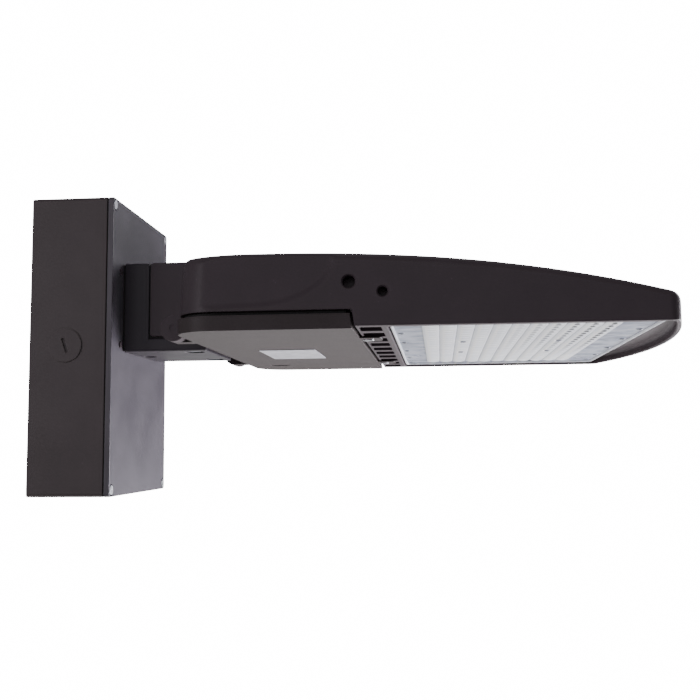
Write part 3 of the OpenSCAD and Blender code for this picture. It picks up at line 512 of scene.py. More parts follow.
def merged_copy(node, name, reshape=None):
    """The CAD node's mesh with its corners joined and its flat faces whole; reshape may move its points."""
    work = bmesh.new()
    source = NODES[node].data
    corners = [work.verts.new(v.co) for v in source.vertices]
    for face in source.polygons:
        work.faces.new([corners[i] for i in face.vertices])
    if reshape:
        for vertex in work.verts:
            reshape(vertex.co)
    bmesh.ops.remove_doubles(work, verts=work.verts, dist=SAME_POINT)
    bmesh.ops.dissolve_degenerate(work, dist=NO_LENGTH, edges=work.edges)
    bmesh.ops.dissolve_limit(work, angle_limit=FLAT_ANGLE, verts=work.verts, edges=work.edges)
    mesh = bpy.data.meshes.new(name)
    work.to_mesh(mesh)
    work.free()
    made = bpy.data.objects.new(name, mesh)
    bpy.context.scene.collection.objects.link(made)
    return made


def softened(node, material, width, reshape=None):
    """Replace a CAD node by itself with bevels of `width` millimetres."""
    made = merged_copy(node, node + "_finish", reshape)
    return stands_for(bevelled(made, width), node, material)


def painted(node, material):
    """Keep a CAD node as it is and give it its finish."""
    NODES[node].data.materials.clear()
    NODES[node].data.materials.append(material)


print("piece tools ready")

# %% Tools for stacked solids
TURNED = {"z": [0, 1, 2], "x": [2, 0, 1], "y": [1, 2, 0]}


def arc_points(middle, radius, start, end, steps):
    turns = np.radians(np.linspace(start, end, steps + 1))
    return np.column_stack([middle[0] + radius * np.cos(turns), middle[1] + radius * np.sin(turns)])


def rounded_box(low, high, r, steps=6):
    """A rectangle with round corners, anticlockwise."""
    corners = [(high[0] - r, high[1] - r, 0), (low[0] + r, high[1] - r, 90),
               (low[0] + r, low[1] + r, 180), (high[0] - r, low[1] + r, 270)]
    return np.concatenate([arc_points((x, y), r, turn, turn + 90, steps) for x, y, turn in corners])


def stack(name, rings, axis="z"):
    """A closed solid through rings of equal count, with a face at each end."""
    count = len(rings[0])
    faces = [tuple(range(count))]
    for k in range(len(rings) - 1):
        for i in range(count):
            a, b = k * count + i, k * count + (i + 1) % count
            faces.append((a, b, b + count, a + count))
    faces.append(tuple(range((len(rings) - 1) * count, len(rings) * count)))
    made = from_points(name, np.concatenate(rings)[:, TURNED[axis]], faces)
    return edit(made, lambda work: bmesh.ops.recalc_face_normals(work, faces=work.faces))


def levels(outline_of, profile):
    """Rings of an outline that is drawn in and lifted along (inset, height) pairs."""
    rings = []
    for inset, height in profile:
        flat = outline_of(inset)
        rings.append(np.column_stack([flat, np.full(len(flat), height)]))
    return rings


def fillets(low, high, r_low, r_high, steps=3):
    """The (inset, height) pairs of a plate with both edges rounded."""
    turns = np.radians(np.linspace(0, 90, steps + 1))
    up = [(r_low * (1 - math.sin(t)), low + r_low * (1 - math.cos(t))) for t in turns]
    over = [(r_high * (1 - math.cos(t)), high - r_high * (1 - math.sin(t))) for t in turns]
    return (up if r_low else [(0, low)]) + (over if r_high else [(0, high)])


def plate(name, low, high, r, profile, axis="z", steps=6):
    """A rounded rectangle along an axis; low and high are its corners across that axis."""
    def outline_of(inset):
        inner = (low[0] + inset, low[1] + inset), (high[0] - inset, high[1] - inset)
        return rounded_box(*inner, max(r - inset, 0.2), steps)
    return stack(name, levels(outline_of, profile), axis)


def rod(name, middle, profile, axis="z", steps=32):
    """A turned bar: (radius, height) pairs along an axis, about a middle across that axis."""
    rings = []
    for radius, height in profile:
        flat = arc_points(middle, radius, 0, 360, steps)[:-1]
        rings.append(np.column_stack([flat, np.full(steps, height)]))
    return stack(name, rings, axis)


def bar(name, middle, radius, ends, axis="z", steps=32):
    """A straight round bar between two heights."""
    return rod(name, middle, [(radius, height) for height in ends], axis, steps)


def spaced(count, pitch):
    """Even places about 0."""
    return [(i - (count - 1) / 2) * pitch for i in range(count)]


def join(target, tool, operation="UNION"):
    """Carve or join with an exact solid operation, and throw the tool away."""
    step = target.modifiers.new("join", "BOOLEAN")
    step.solver = "MANIFOLD"
    step.operation = operation
    step.object = tool
    baked(target)
    spent = tool.data
    bpy.data.objects.remove(tool)
    bpy.data.meshes.remove(spent)


def carve(target, tool):
    join(target, tool, "DIFFERENCE")


def cleaned(made):
    """Join the corners that carving left apart, and keep whole triangles only."""
    def clean(work):
        bmesh.ops.remove_doubles(work, verts=work.verts, dist=SAME_POINT)
        bmesh.ops.triangulate(work, faces=work.faces)
        bmesh.ops.dissolve_degenerate(work, dist=NO_LENGTH, edges=work.edges)
    return edit(made, clean)


print("a rounded box has", len(rounded_box((0, 0), (10, 10), 2)), "points")

# %% [markdown]
# ### What repeats
#
# Vent slots, fins, ridges, lenses, chips and screws are one shape many times. A node tree puts a shape at
# every point of a small mesh, turns each copy by a seeded random angle where the real pieces were driven in
# by hand, and makes the copies real at its end.

# %% A tree that puts a shape at each point
REPEAT_INPUTS = (("Points", "NodeSocketGeometry"), ("Shape", "NodeSocketObject"),
                 ("Finish", "NodeSocketMaterial"), ("Most Turn", "NodeSocketFloat"), ("Seed", "NodeSocketInt"))


def repeat_tree():
    tree = bpy.data.node_groups.new("shape_at_points", "GeometryNodeTree")
    for name, kind in REPEAT_INPUTS:
        tree.interface.new_socket(name, in_out="INPUT", socket_type=kind)
    tree.interface.new_socket("Copies", in_out="OUTPUT", socket_type="NodeSocketGeometry")
    given = add(tree, "NodeGroupInput").outputs
    shape = add(tree, "GeometryNodeObjectInfo", {"Object": given["Shape"]}).outputs["Geometry"]
    turn = add(tree, "FunctionNodeRandomValue", data_type="FLOAT")
    tree.links.new(given["Most Turn"], turn.inputs[3])
    tree.links.new(given["Seed"], turn.inputs["Seed"])
    spin = add(tree, "ShaderNodeCombineXYZ", {"Z": turn.outputs[1]}).outputs[0]
    copies = add(tree, "GeometryNodeInstanceOnPoints",
                 {"Points": given["Points"], "Instance": shape, "Rotation": spin}).outputs[0]
    real = add(tree, "GeometryNodeRealizeInstances", {"Geometry": copies}).outputs[0]
    painted_copies = add(tree, "GeometryNodeSetMaterial", {"Geometry": real, "Material": given["Finish"]})
    tree.links.new(painted_copies.outputs[0], add(tree, "NodeGroupOutput").inputs["Copies"])
    return tree


REPEAT = repeat_tree()


def repeated(name, shape, places, material, most_turn=0.0, seed=1):
    """One mesh of `shape` at each place in millimetres."""
    made = from_points(name, places, [])
    step = made.modifiers.new("repeat", "NODES")
    step.node_group = REPEAT
    values = {"Shape": shape, "Finish": material, "Most Turn": most_turn, "Seed": seed}
    for socket in REPEAT.interface.items_tree:
        if socket.name in values:
            step[socket.identifier] = values[socket.name]
    baked(made)
    spent = shape.data
    bpy.data.objects.remove(shape)
    bpy.data.meshes.remove(spent)
    return made


print("tree inputs:", [name for name, _ in REPEAT_INPUTS])

# %% [markdown]
# ## The housing
#
# The head is one die casting. From above it is a rectangle with a 650 mm nose arc and round corners; from the
# side its top edge rises a little and then falls in a curve to the nose. Both come from formulas, so the skin
# is a stack of rings that follow them. The shallow panel in each side is pressed into those same rings, with
# a soft edge 6.5 mm wide, as the die leaves it.

# %% Sizes of the housing
housing_low, housing_high = box_mm("housing")
NOSE_X, HALF_W = housing_high.x, housing_high.y
NECK_X = housing_low.x
REAR_X = NOSE_X - 386
RIM_Z = -1.5
SIDE_TOP = RIM_Z + 53.4
HIGH_IN = 51.5
HIGH_X = REAR_X + HIGH_IN
SEAM_TOP, CASTING_WALL, SHOULDER = 10.9, 3.2, 5.0
NOSE_R, CORNER_R, REAR_R = 650, 9, 32
NOSE_MID = NOSE_X - NOSE_R
NOSE_RIM, NOSE_ROUND, NOSE_DEPTH, NOSE_FILLET = 3.6, 10, 8, 3.5
DOOR_FRONT = REAR_X + 132.2
DOOR_SLANT = 1.6
GRILLE_X = DOOR_FRONT + 1.9
WINDOW_LOW = (lens_low.x - 2.8, lens_low.y - 0.7)
WINDOW_HIGH = (lens_high.x + 0.9, lens_high.y + 0.7)
WINDOW_R, LAMP_FLOOR, FIN_FLOOR = 6, 7.0, 13.0
MIDDLE_X = (REAR_X + NOSE_X) / 2
BEHIND, ABOVE = REAR_X - 20, 110
EDGE_FALL, FALL_LENGTH, FALL_POWER = 33, 305, 2.4
REAR_FALL, REAR_LENGTH, REAR_LEAN = 2.5, 42, 0.065
CROWN, CROWN_FALL, CROWN_LENGTH = 21, 13, 334.5
PANEL_DEPTH, PANEL_SOFT = 1.5, 6.5
PANEL_MID, PANEL_A, PANEL_B = HIGH_X + 7.5, 60.5, 35.5
PANEL_TOP, PANEL_END = SIDE_TOP - 1.4, 300
print("housing:", round(NOSE_X - REAR_X), "x", round(2 * HALF_W, 1), "mm")

# %% The skin's formulas


def corner_of(nose_r, corner_r, half):
    """Where a corner arc sits between the nose arc and a straight side."""
    y = half - corner_r
    x = NOSE_MID + math.sqrt((nose_r - corner_r) ** 2 - y * y)
    return x, y, math.degrees(math.asin(y / (nose_r - corner_r)))


def mirrored(half):
    return np.concatenate([half, half[1:-1][::-1] * (1, -1)])


def head_outline(inset, fine=True):
    """The head from above, drawn in by `inset`, from the nose round to the rear and back."""
    x, y, swing = corner_of(NOSE_R, CORNER_R, HALF_W)
    nose = arc_points((NOSE_MID, 0), NOSE_R - inset, 0, swing, 32)
    corner = arc_points((x, y), max(CORNER_R - inset, 0.5), swing, 90, 10)[1:]
    ahead = np.linspace(x, PANEL_END, 30 if fine else 8)[1:]
    beside = np.linspace(PANEL_END, REAR_X + REAR_R, 60 if fine else 8)[1:-1]
    side = np.array([(px, HALF_W - inset) for px in (*ahead, *beside)])
    rear = arc_points((REAR_X + REAR_R, HALF_W - REAR_R), REAR_R - inset, 90, 180, 16 if fine else 10)
    back = [(REAR_X + inset, (HALF_W - REAR_R) * (1 - i / 14)) for i in range(1, 15)]
    return mirrored(np.concatenate([nose, corner, side, rear, back]))


def edge_z(x):
    """The height of the side's top edge."""
    fall = EDGE_FALL * (np.maximum(x - HIGH_X, 0) / FALL_LENGTH) ** FALL_POWER
    rear_fall = REAR_FALL * (np.maximum(HIGH_X - x, 0) / REAR_LENGTH) ** 2
    return SIDE_TOP - fall - rear_fall


def top_z(x, y):
    """The height of the crowned top."""
    crown = CROWN - CROWN_FALL * (np.maximum(x - HIGH_X, 0) / CROWN_LENGTH) ** 2
    return edge_z(x) + crown * (1 - (y / HALF_W) ** 2)


def leaned(points):
    """The rear wall leans forward a little towards its top."""
    behind = np.maximum(HIGH_X - points[:, 0], 0) / HIGH_IN
    points[:, 0] += (points[:, 2] - RIM_Z) * REAR_LEAN * behind
    return points


def panel_inset(x, z):
    """How deep the side panel is at a point of the side: 0 outside it, PANEL_DEPTH inside."""
    across, up = (x - PANEL_MID) / PANEL_A, np.minimum(z - PANEL_TOP, 0) / PANEL_B
    reach = np.sqrt(across ** 2 + up ** 2)
    slope = np.sqrt((across / PANEL_A) ** 2 + (up / PANEL_B) ** 2) + 1e-6
    in_ellipse = (1 - reach) * reach / slope
    lower_edge = np.interp(x, (REAR_X - 10, REAR_X + 20, PANEL_MID), (13.3, 13.5, PANEL_TOP - PANEL_B))
    inside = np.where(x > PANEL_MID, in_ellipse, z - lower_edge)
    share = np.clip(inside / PANEL_SOFT + 0.5, 0, 1)
    return PANEL_DEPTH * share ** 2 * (3 - 2 * share)


def head_shell(name, inset, bottom, rim_r, side_rings, pressed=True):
    """The head's skin, or the space inside it, as a stack of rings."""
    r = max(SHOULDER - inset, 0.6)
    fine = side_rings > 20
    foot = [(inset + rim_r * (1 - math.sin(t)), bottom + rim_r * (1 - math.cos(t)))
            for t in np.radians(np.linspace(0, 90, 4))] if rim_r else [(inset, bottom)]
    rings = levels(lambda d: head_outline(d, fine), foot)
    side = head_outline(inset, fine)
    low = rings[-1][:, 2]
    high = top_z(side[:, 0], side[:, 1]) - inset - r
    for share in np.linspace(0, 1, side_rings + 1)[1:]:
        rings.append(np.column_stack([side, low + (high - low) * share]))
    for turn in np.radians(np.linspace(80, 0, 9 if fine else 4)):
        flat = head_outline(inset + r * (1 - math.sin(turn)), fine)
        z = top_z(flat[:, 0], flat[:, 1]) - inset - r * (1 - math.cos(turn))
        rings.append(np.column_stack([flat, z]))
    inner = head_outline(inset + r, fine)
    for share in np.linspace(1, 0.02, 20 if fine else 8)[1:]:
        flat = np.column_stack([MIDDLE_X + (inner[:, 0] - MIDDLE_X) * share, inner[:, 1] * share])
        rings.append(np.column_stack([flat, top_z(flat[:, 0], flat[:, 1]) - inset]))
    for ring in rings:
        if pressed:
            most = HALF_W - panel_inset(ring[:, 0], ring[:, 2])
            ring[:, 1] = np.clip(ring[:, 1], -most, most)
        leaned(ring)
    return stack(name, rings)


housing = head_shell("housing_casting", 0, RIM_Z, 0.8, 42)
print("skin:", len(housing.data.vertices), "points")

# %% [markdown]
# The die's cores make every hollow: the room for the door with its slanted front, the driver bay above it,
# the window, the slots, the fins and the soft hollow under the nose. Each mouth is flared a little, because a
# cast edge under paint is never sharp.

# %% Carve the big hollows
room = [(BEHIND, RIM_Z - 6), (GRILLE_X + 0.6, RIM_Z - 6), (GRILLE_X + 0.6, RIM_Z), (GRILLE_X, RIM_Z + 0.6),
        (GRILLE_X - DOOR_SLANT, SEAM_TOP - 1), (GRILLE_X - DOOR_SLANT - 1, SEAM_TOP), (BEHIND, SEAM_TOP)]
room_rings = [np.array([(z, x, y) for x, z in room]) for y in (-HALF_W - 5, HALF_W + 5)]
carve(housing, stack("door_room", room_rings, "y"))

bay = head_shell("bay", CASTING_WALL, SEAM_TOP - 5, 0, 6, pressed=False)
bay_block = plate("bay_block", (BEHIND, -HALF_W), (GRILLE_X, HALF_W), 1, [(0, SEAM_TOP + 3), (0, ABOVE)])
join(bay, bay_block, "INTERSECT")
carve(housing, bay)
LAND_W = 13
land = (REAR_X + CASTING_WALL + 8.5, LAND_W - HALF_W), (DOOR_FRONT - 9.6, HALF_W - LAND_W)
land_profile = [(-0.5, 8), (-0.5, SEAM_TOP), (0, SEAM_TOP + 0.5), (0, 16)]
carve(housing, plate("land_mouth", *land, 12, land_profile))


def nose_hollow(inset):
    """The hollow under the nose from above: a narrow rim in front, and a straight wall at its back."""
    back = WINDOW_HIGH[0] + 0.3
    x, y, swing = corner_of(NOSE_R - NOSE_RIM, NOSE_ROUND, HALF_W - NOSE_RIM)
    last = math.degrees(math.acos((back - x) / (NOSE_ROUND - inset)))
    nose = arc_points((NOSE_MID, 0), NOSE_R - NOSE_RIM - inset, 0, swing, 32)
    corner = arc_points((x, y), NOSE_ROUND - inset, swing, last, 10)[1:]
    return mirrored(np.concatenate([nose, corner, [(back, 0)]]))


nose_profile = [(-0.7, RIM_Z - 1), (-0.7, RIM_Z), (0, RIM_Z + 0.7)]
for turn in np.radians(np.linspace(0, 90, 7)):
    drop = NOSE_FILLET * (1 - math.sin(turn))
    nose_profile.append((NOSE_FILLET * (1 - math.cos(turn)), RIM_Z + NOSE_DEPTH - drop))
carve(housing, stack("nose_core", levels(nose_hollow, nose_profile)))
print("after the big cores:", len(housing.data.polygons), "faces")

# %% Carve the fins from above
FIN_GAPS, FIN_GAP_W, FINS_SHORT = 24, 10, 22
FIN_PITCH = (WINDOW_HIGH[1] * 2 - FINS_SHORT) / FIN_GAPS
fin_gap = (WINDOW_LOW[0] + 5, -FIN_GAP_W / 2), (WINDOW_HIGH[0] - FINS_SHORT, FIN_GAP_W / 2)
fin_profile = [(2, FIN_FLOOR), (0.6, FIN_FLOOR + 0.6), (0, FIN_FLOOR + 2), (0, ABOVE)]
fin_core = plate("fin_core", *fin_gap, 4.5, fin_profile)
fin_places = [(0, y, 0) for y in spaced(FIN_GAPS, FIN_PITCH)]
carve(housing, repeated("fin_cores", fin_core, fin_places, casting_coat))
print(FIN_GAPS, "fin gaps,", round(FIN_PITCH, 2), "mm apart")

# %% [markdown]
# The neck and the two hinge lugs stand on the rear wall. They are joined to the casting with their edges
# already rounded, so the line between them and the wall stays crisp, as in the photograph. The bosses inside
# take the door's screws, the tray's screws and the lamp leads.

# %% Join the neck, the lugs and the bosses
NECK_HALF, ARM_TOP, SHELF_TOP = 51.9, 74.1, 9.4
side_view = [(NECK_X, SHELF_TOP + 2), (NECK_X + 2, SHELF_TOP), (REAR_X + 6, SHELF_TOP), (REAR_X + 8, SEAM_TOP),
             (REAR_X + 8, ARM_TOP - 3), (REAR_X, ARM_TOP), (NECK_X + 2, ARM_TOP), (NECK_X, ARM_TOP - 2)]
neck = stack("neck", [np.array([(z, x, y) for x, z in side_view]) for y in (-NECK_HALF, NECK_HALF)], "y")
carve(neck, plate("door_side", (REAR_X, -HALF_W), (REAR_X + 40, HALF_W), 1, [(0, RIM_Z), (0, SEAM_TOP)]))
join(housing, bevelled(neck, 0.9))

HINGE_X, HINGE_Z, KNUCKLE_R, KNUCKLE_EDGE, LUG = REAR_X - 14, 6.8, 10.3, 0.5, (113, 126)
for side in (-1, 1):
    start, end = sorted(side * y for y in LUG)
    barrel = [(KNUCKLE_R - KNUCKLE_EDGE, start), (KNUCKLE_R, start + KNUCKLE_EDGE),
              (KNUCKLE_R, end - KNUCKLE_EDGE), (KNUCKLE_R - KNUCKLE_EDGE, end)]
    join(housing, rod("lug", (HINGE_Z, HINGE_X), barrel, "y", 64))
    web = (HINGE_X, start), (REAR_X + 5, end)
    join(housing, plate("lug_web", *web, 0.4, [(0, SEAM_TOP), (0, HINGE_Z + KNUCKLE_R - 0.1)]))

TAB_X, TAB_Y, TAB_BOSS_R, TRAY_BOSS_R = GRILLE_X + 6, 108, 6, 5.5
TRAY_IN_X, TRAY_IN_Y = 7, 8
tray_low, tray_high = box_mm("driver_tray")
for side in (-1, 1):
    join(housing, bar("screw_boss", (TAB_X, side * TAB_Y), TAB_BOSS_R, (RIM_Z, RIM_Z + 16)))
    for x in (tray_low.x + TRAY_IN_X, tray_high.x - TRAY_IN_X):
        y = side * (tray_high.y - TRAY_IN_Y)
        roof = float(top_z(np.array(x), np.array(y))) - CASTING_WALL + 1
        join(housing, bar("tray_boss", (x, y), TRAY_BOSS_R, (tray_high.z, roof)))
lead_boss = (WINDOW_LOW[0] - 2, -7), (WINDOW_LOW[0] + 21, 7)
join(housing, plate("lead_boss", *lead_boss, 1, [(0, 9), (0, 24)]))
print("after the joins:", len(housing.data.polygons), "faces")

# %% Carve the window, the slots and the holes
window_profile = [(-0.3, RIM_Z - 4), (-0.3, RIM_Z), (0, RIM_Z + 0.3), (0, LAMP_FLOOR)]
carve(housing, plate("window_core", WINDOW_LOW, WINDOW_HIGH, WINDOW_R, window_profile))
rib = (WINDOW_HIGH[0] - 5, NOSE_RIM - HALF_W), (WINDOW_HIGH[0] + 1, HALF_W - NOSE_RIM)
carve(housing, plate("rib_cut", *rib, 1, [(0, RIM_Z - 1), (0, LIP_Z + 0.2)]))
SLOTS, SLOT_W, SLOT_X, SLOT_LEN = 10, 24, GRILLE_X + 1.8, 16.6
SLOT_PITCH = (2 * HALF_W - 42) / (SLOTS - 1)
slot_profile = [(-0.2, RIM_Z - 2), (-0.2, RIM_Z), (0, RIM_Z + 0.2), (0, ABOVE)]
slot_core = plate("slot_core", (SLOT_X, -SLOT_W / 2), (SLOT_X + SLOT_LEN, SLOT_W / 2), 1.2, slot_profile)
slot_places = [(0, y, 0) for y in spaced(SLOTS, SLOT_PITCH)]
carve(housing, repeated("slot_cores", slot_core, slot_places, casting_coat))

CHANNEL_Z, CHANNEL_R = 38, 16
carve(housing, bar("cable_way", (0, CHANNEL_Z), CHANNEL_R, (NECK_X - 1, NECK_X + 9), "x"))
neck_room = (NECK_X + 5, -28), (REAR_X + 21, 28)
carve(housing, plate("neck_room", *neck_room, 4, [(0, CHANNEL_Z - 18), (0, CHANNEL_Z + 22)]))

SIDE_HOLES = ((GRILLE_X - 3.8, RIM_Z + 32.1, 4.55), (GRILLE_X + 20.3, RIM_Z + 24.6, 3.55))
HOLE_DEPTH, HOLE_FLARE, TAB_HOLE_R, PIN_R = 13, 0.9, 3.2, 3
BOLT_X, BOLT_Y, BOLT_R = NECK_X + 36, 37, 4.05
for side in (-1, 1):
    for x, z, r in SIDE_HOLES:
        boss = sorted((side * (HALF_W - HOLE_DEPTH - 2), side * (HALF_W - 2)))
        join(housing, bar("hole_boss", (z, x), r + 3.5, boss, "y"))
        mouth = r + HOLE_FLARE
        drill = [(r, HALF_W - HOLE_DEPTH), (r, HALF_W - HOLE_FLARE), (mouth, HALF_W), (mouth, HALF_W + 2)]
        drill = [(radius, side * y) for radius, y in drill][::side]
        carve(housing, rod("side_hole", (z, x), drill, "y", 48))
    carve(housing, bar("screw_hole", (TAB_X, side * TAB_Y), TAB_HOLE_R, (RIM_Z - 1, RIM_Z + 13)))
    pin_ends = sorted((side * (LUG[0] - 1), side * (LUG[1] + 1)))
    carve(housing, bar("pin_hole", (HINGE_Z, HINGE_X), PIN_R, pin_ends, "y"))
    carve(housing, bar("neck_bolt_hole", (BOLT_X, side * BOLT_Y), BOLT_R, (SHELF_TOP - 1, SHELF_TOP + 19)))

LEAD_Z, LEAD_X, LEAD_R = LAMP_FLOOR + 13, WINDOW_LOW[0] + 15, 3.5
carve(housing, bar("lead_way", (0, LEAD_Z), LEAD_R, (GRILLE_X - 12, LEAD_X), "x"))
carve(housing, bar("lead_drop", (LEAD_X, 0), LEAD_R, (LAMP_FLOOR - 1, LEAD_Z)))
stands_for(cleaned(housing), "housing", casting_coat)
print("housing:", len(housing.data.polygons), "triangles")

# %% [markdown]
# ## The box cover
#
# The cover is a shallow pressed pan. Its front edges are rolled to a small radius, and each corner has a boss
# with a flat seat sunk in it for the screw's head.

# %% Build the box cover
cover_low, cover_high = box_mm("box_cover")
cover_x, plate_x = cover_low.x, cover_high.x
pan = (cover_low.y, cover_low.z), (cover_high.y, cover_high.z)
cover = plate("cover_pan", *pan, 3, fillets(cover_x, plate_x, 0.3, 0.9), "x")
PAN_WALL, PAN_CORNER = 2.5, 3.2
inside = [(PAN_WALL, cover_x - 1), (PAN_WALL, plate_x - PAN_CORNER), (PAN_CORNER, plate_x - PAN_WALL)]
carve(cover, plate("pan_inside", *pan, 3, inside, "x"))
SCREW_IN, BOSS_R, SCREW_HOLE_R, SEAT_R, CABLE_HOLE_R = 5.75, 5.6, 3, 5, 19
SEAT_X = plate_x - 1.5
for y in (cover_low.y + SCREW_IN, cover_high.y - SCREW_IN):
    for z in (cover_low.z + SCREW_IN, cover_high.z - SCREW_IN):
        join(cover, bar("corner_boss", (y, z), BOSS_R, (cover_x + 0.1, plate_x - 0.5), "x"))
        seat = [(SCREW_HOLE_R, cover_x - 1), (SCREW_HOLE_R, SEAT_X), (SEAT_R, SEAT_X), (SEAT_R, plate_x - 0.3),
                (SEAT_R + 0.5, plate_x + 0.5)]
        carve(cover, rod("screw_seat", (y, z), seat, "x"))
carve(cover, bar("cable_hole", (0, CHANNEL_Z), CABLE_HOLE_R, (cover_x - 1, plate_x + 1), "x", 64))
stands_for(cleaned(cover), "box_cover", lit_cover_coat)
print("cover:", len(cover.data.polygons), "triangles")

# %% [markdown]
# ## The lens plate
#
# One acrylic moulding covers the lamp. A lip stands round its border and catches the light along the nose.
# Behind the lip a set-back flange carries eleven low ridges with 21 lenses each, and four lenses are left out
# for screws. A ridge is a long dome with round ends, and each lens stands on its crest as a small cap. A bead
# of silicone seals the plate's edge.

# %% Build the lens plate
PLATE_LOW, PLATE_HIGH = (lens_low.x - 1.2, lens_low.y), (WINDOW_HIGH[0] - 0.1, lens_high.y)
PLATE_R, FLANGE_TOP, LIP_W, LIP_EDGE = 5.6, lens_high.z, 1.4, 0.4
lens_plate = plate("lens_moulding", PLATE_LOW, PLATE_HIGH, PLATE_R, fillets(LIP_Z, FLANGE_TOP, LIP_EDGE, 0))
tray = [(LIP_W - LIP_EDGE, LIP_Z - 1), (LIP_W - LIP_EDGE, LIP_Z), (LIP_W, LIP_Z + LIP_EDGE),
        (LIP_W + 0.5, FLANGE_Z)]
carve(lens_plate, plate("lens_tray", PLATE_LOW, PLATE_HIGH, PLATE_R, tray))
FIELD_SCREWS = [(LENS_MID + i * 3 * ROW_PITCH, j * 3 * LENS_PITCH) for i in (-1, 1) for j in (-1, 1)]
row_places = [(LENS_MID + x, 0, 0) for x in spaced(ROWS, ROW_PITCH)]
RIDGE_HALF_W, RIDGE_HALF, RIDGE_RISE = 6.6, COLUMNS / 2 * LENS_PITCH, 1.15
ridge_profile = [(0, 0.3), (0, -0.1), (0.3, -0.5), (1.2, -0.85), (2.6, -1.05), (4.4, -RIDGE_RISE)]
ridge = plate("ridge", (-RIDGE_HALF_W, -RIDGE_HALF), (RIDGE_HALF_W, RIDGE_HALF), RIDGE_HALF_W - 0.1,
              [(inset, FLANGE_Z + z) for inset, z in ridge_profile], steps=4)
join(lens_plate, repeated("ridges", ridge, row_places, acrylic))
lens_places = []
for x, _, _ in row_places:
    for y in spaced(COLUMNS, LENS_PITCH):
        if min(math.dist((x, y), screw) for screw in FIELD_SCREWS) > 1:
            lens_places.append((x, y, 0))
cap_profile = [(4.3, -0.8), (4.1, -1.1), (3.2, -1.4), (1.6, -1.6), (0.5, -1.65)]
cap = rod("cap", (0, 0), [(r, FLANGE_Z + z) for r, z in cap_profile[::-1]], "z", 12)
join(lens_plate, repeated("caps", cap, lens_places, acrylic))
FIELD_SEAT_R, FIELD_SEAT_Z = 4.2, FLANGE_Z - 0.9
for x, y in FIELD_SCREWS:
    carve(lens_plate, bar("screw_seat", (x, y), FIELD_SEAT_R, (FLANGE_Z - 4, FIELD_SEAT_Z)))
stands_for(cleaned(lens_plate), "lens_plate", acrylic)
print(len(lens_places), "lenses")

# %% Build the seal with its bead
seal_low, seal_high = box_mm("lens_gasket")
BEAD_GAP, SEAL_W = 0.05, 3.5
bead_high = (WINDOW_HIGH[0] - BEAD_GAP, WINDOW_HIGH[1] - BEAD_GAP)
bead_low = (lens_low.x - 1.6, -bead_high[1])
bead = plate("seal_bead", bead_low, bead_high, WINDOW_R, fillets(LIP_Z + 0.4, seal_high.z, 0.3, 0))
seal_inside = (seal_low.x + SEAL_W, seal_low.y + SEAL_W), (seal_high.x - SEAL_W, seal_high.y - SEAL_W)
carve(bead, plate("plate_room", PLATE_LOW, PLATE_HIGH, PLATE_R, [(0, RIM_Z - 1), (0, FLANGE_TOP)]))
carve(bead, plate("board_room", *seal_inside, 3, [(0, RIM_Z - 1), (0, seal_high.z + 1)]))
stands_for(cleaned(bead), "lens_gasket", silicone_rubber)
print("seal:", len(bead.data.polygons), "triangles")

# %% Put the screws and the chips in
SHANK_R, HEAD_R, SHANK_TOP = 1.5, 2.5, box_mm("lens_screws")[1].z
EDGE_Y, ROW_ENDS_X = WINDOW_HIGH[1] - 11.5, (lens_low.x + 4.4, WINDOW_HIGH[0] - 6.2)
ROW_SHARES, PAIR_X, PAIR_HALF, FIELD_DROP = (0.223, 0.636, 1), 29.8, 5.2, -1.1
screw_places = [(x, j * share * EDGE_Y, 0) for x in ROW_ENDS_X for j in (-1, 1) for share in ROW_SHARES]
screw_places += [(LENS_MID + i * PAIR_X + k * PAIR_HALF, j * EDGE_Y, 0)
                 for j in (-1, 1) for i in (-1, 1) for k in (-1, 1)]
screw_places += [(x, y, FIELD_DROP) for x, y in FIELD_SCREWS]
head = [(SHANK_R, SHANK_TOP), (SHANK_R, FLANGE_Z), (HEAD_R, FLANGE_Z), (HEAD_R, FLANGE_Z - 0.4),
        (2.1, FLANGE_Z - 0.8), (1.2, FLANGE_Z - 0.9), (0.9, FLANGE_Z - 0.2)]
pan_screw = rod("pan_screw", (0, 0), head[::-1], "z", 24)
lens_screws = repeated("lens_screw_set", pan_screw, screw_places, dark_zinc, most_turn=6.28, seed=7)
stands_for(lens_screws, "lens_screws", dark_zinc)

CHIP_HALF = 1.3
chip_low, chip_high = box_mm("lamp_chips")
chip_profile = fillets(chip_low.z, chip_high.z, 0.3, 0)
chip = plate("chip", (-CHIP_HALF, -CHIP_HALF), (CHIP_HALF, CHIP_HALF), 0.4, chip_profile)
chips = repeated("lamp_chip_set", chip, lens_places, chip_phosphor)
stands_for(chips, "lamp_chips", chip_phosphor)
print(len(screw_places), "screws,", len(lens_places), "chips")

# %% [markdown]
# ## The door, the box and the arm
#
# These come straight from the CAD solids with softened edges, and a few are moved a little on the way. The
# door's front wall leans back by 1.6 mm, in step with the slanted end of its room in the housing, and its top
# is lowered until the dark seam over it is 2.6 mm high. Its screws sit a little further back and deeper. The
# tray screws' tips are kept inside the roof.

# %% Soften the machined and cast pieces
DOOR_Z, DOOR_WALL = RIM_Z - 1.5, 4.2
SEAM, DOOR_TOP, DOOR_BACK = 2.6, 9.4, REAR_X - 2
SCREW_TIP_Z = 58.0
SCREW_SHIFT = Vector((-1.6, 0, 1.1)) * MM


def fit_door(at):
    """Lean the door's front wall back, lower its top, and bring its tabs flush with its face."""
    x, z = at.x / MM, at.z / MM
    if x > DOOR_FRONT - DOOR_WALL and z > RIM_Z:
        at.x -= DOOR_SLANT * (z - RIM_Z) / (SEAM_TOP - RIM_Z) * MM
    if x > DOOR_BACK and z > DOOR_TOP - 0.1:
        at.z -= (SEAM - (SEAM_TOP - DOOR_TOP)) * MM
    at.z = max(at.z, DOOR_Z * MM)


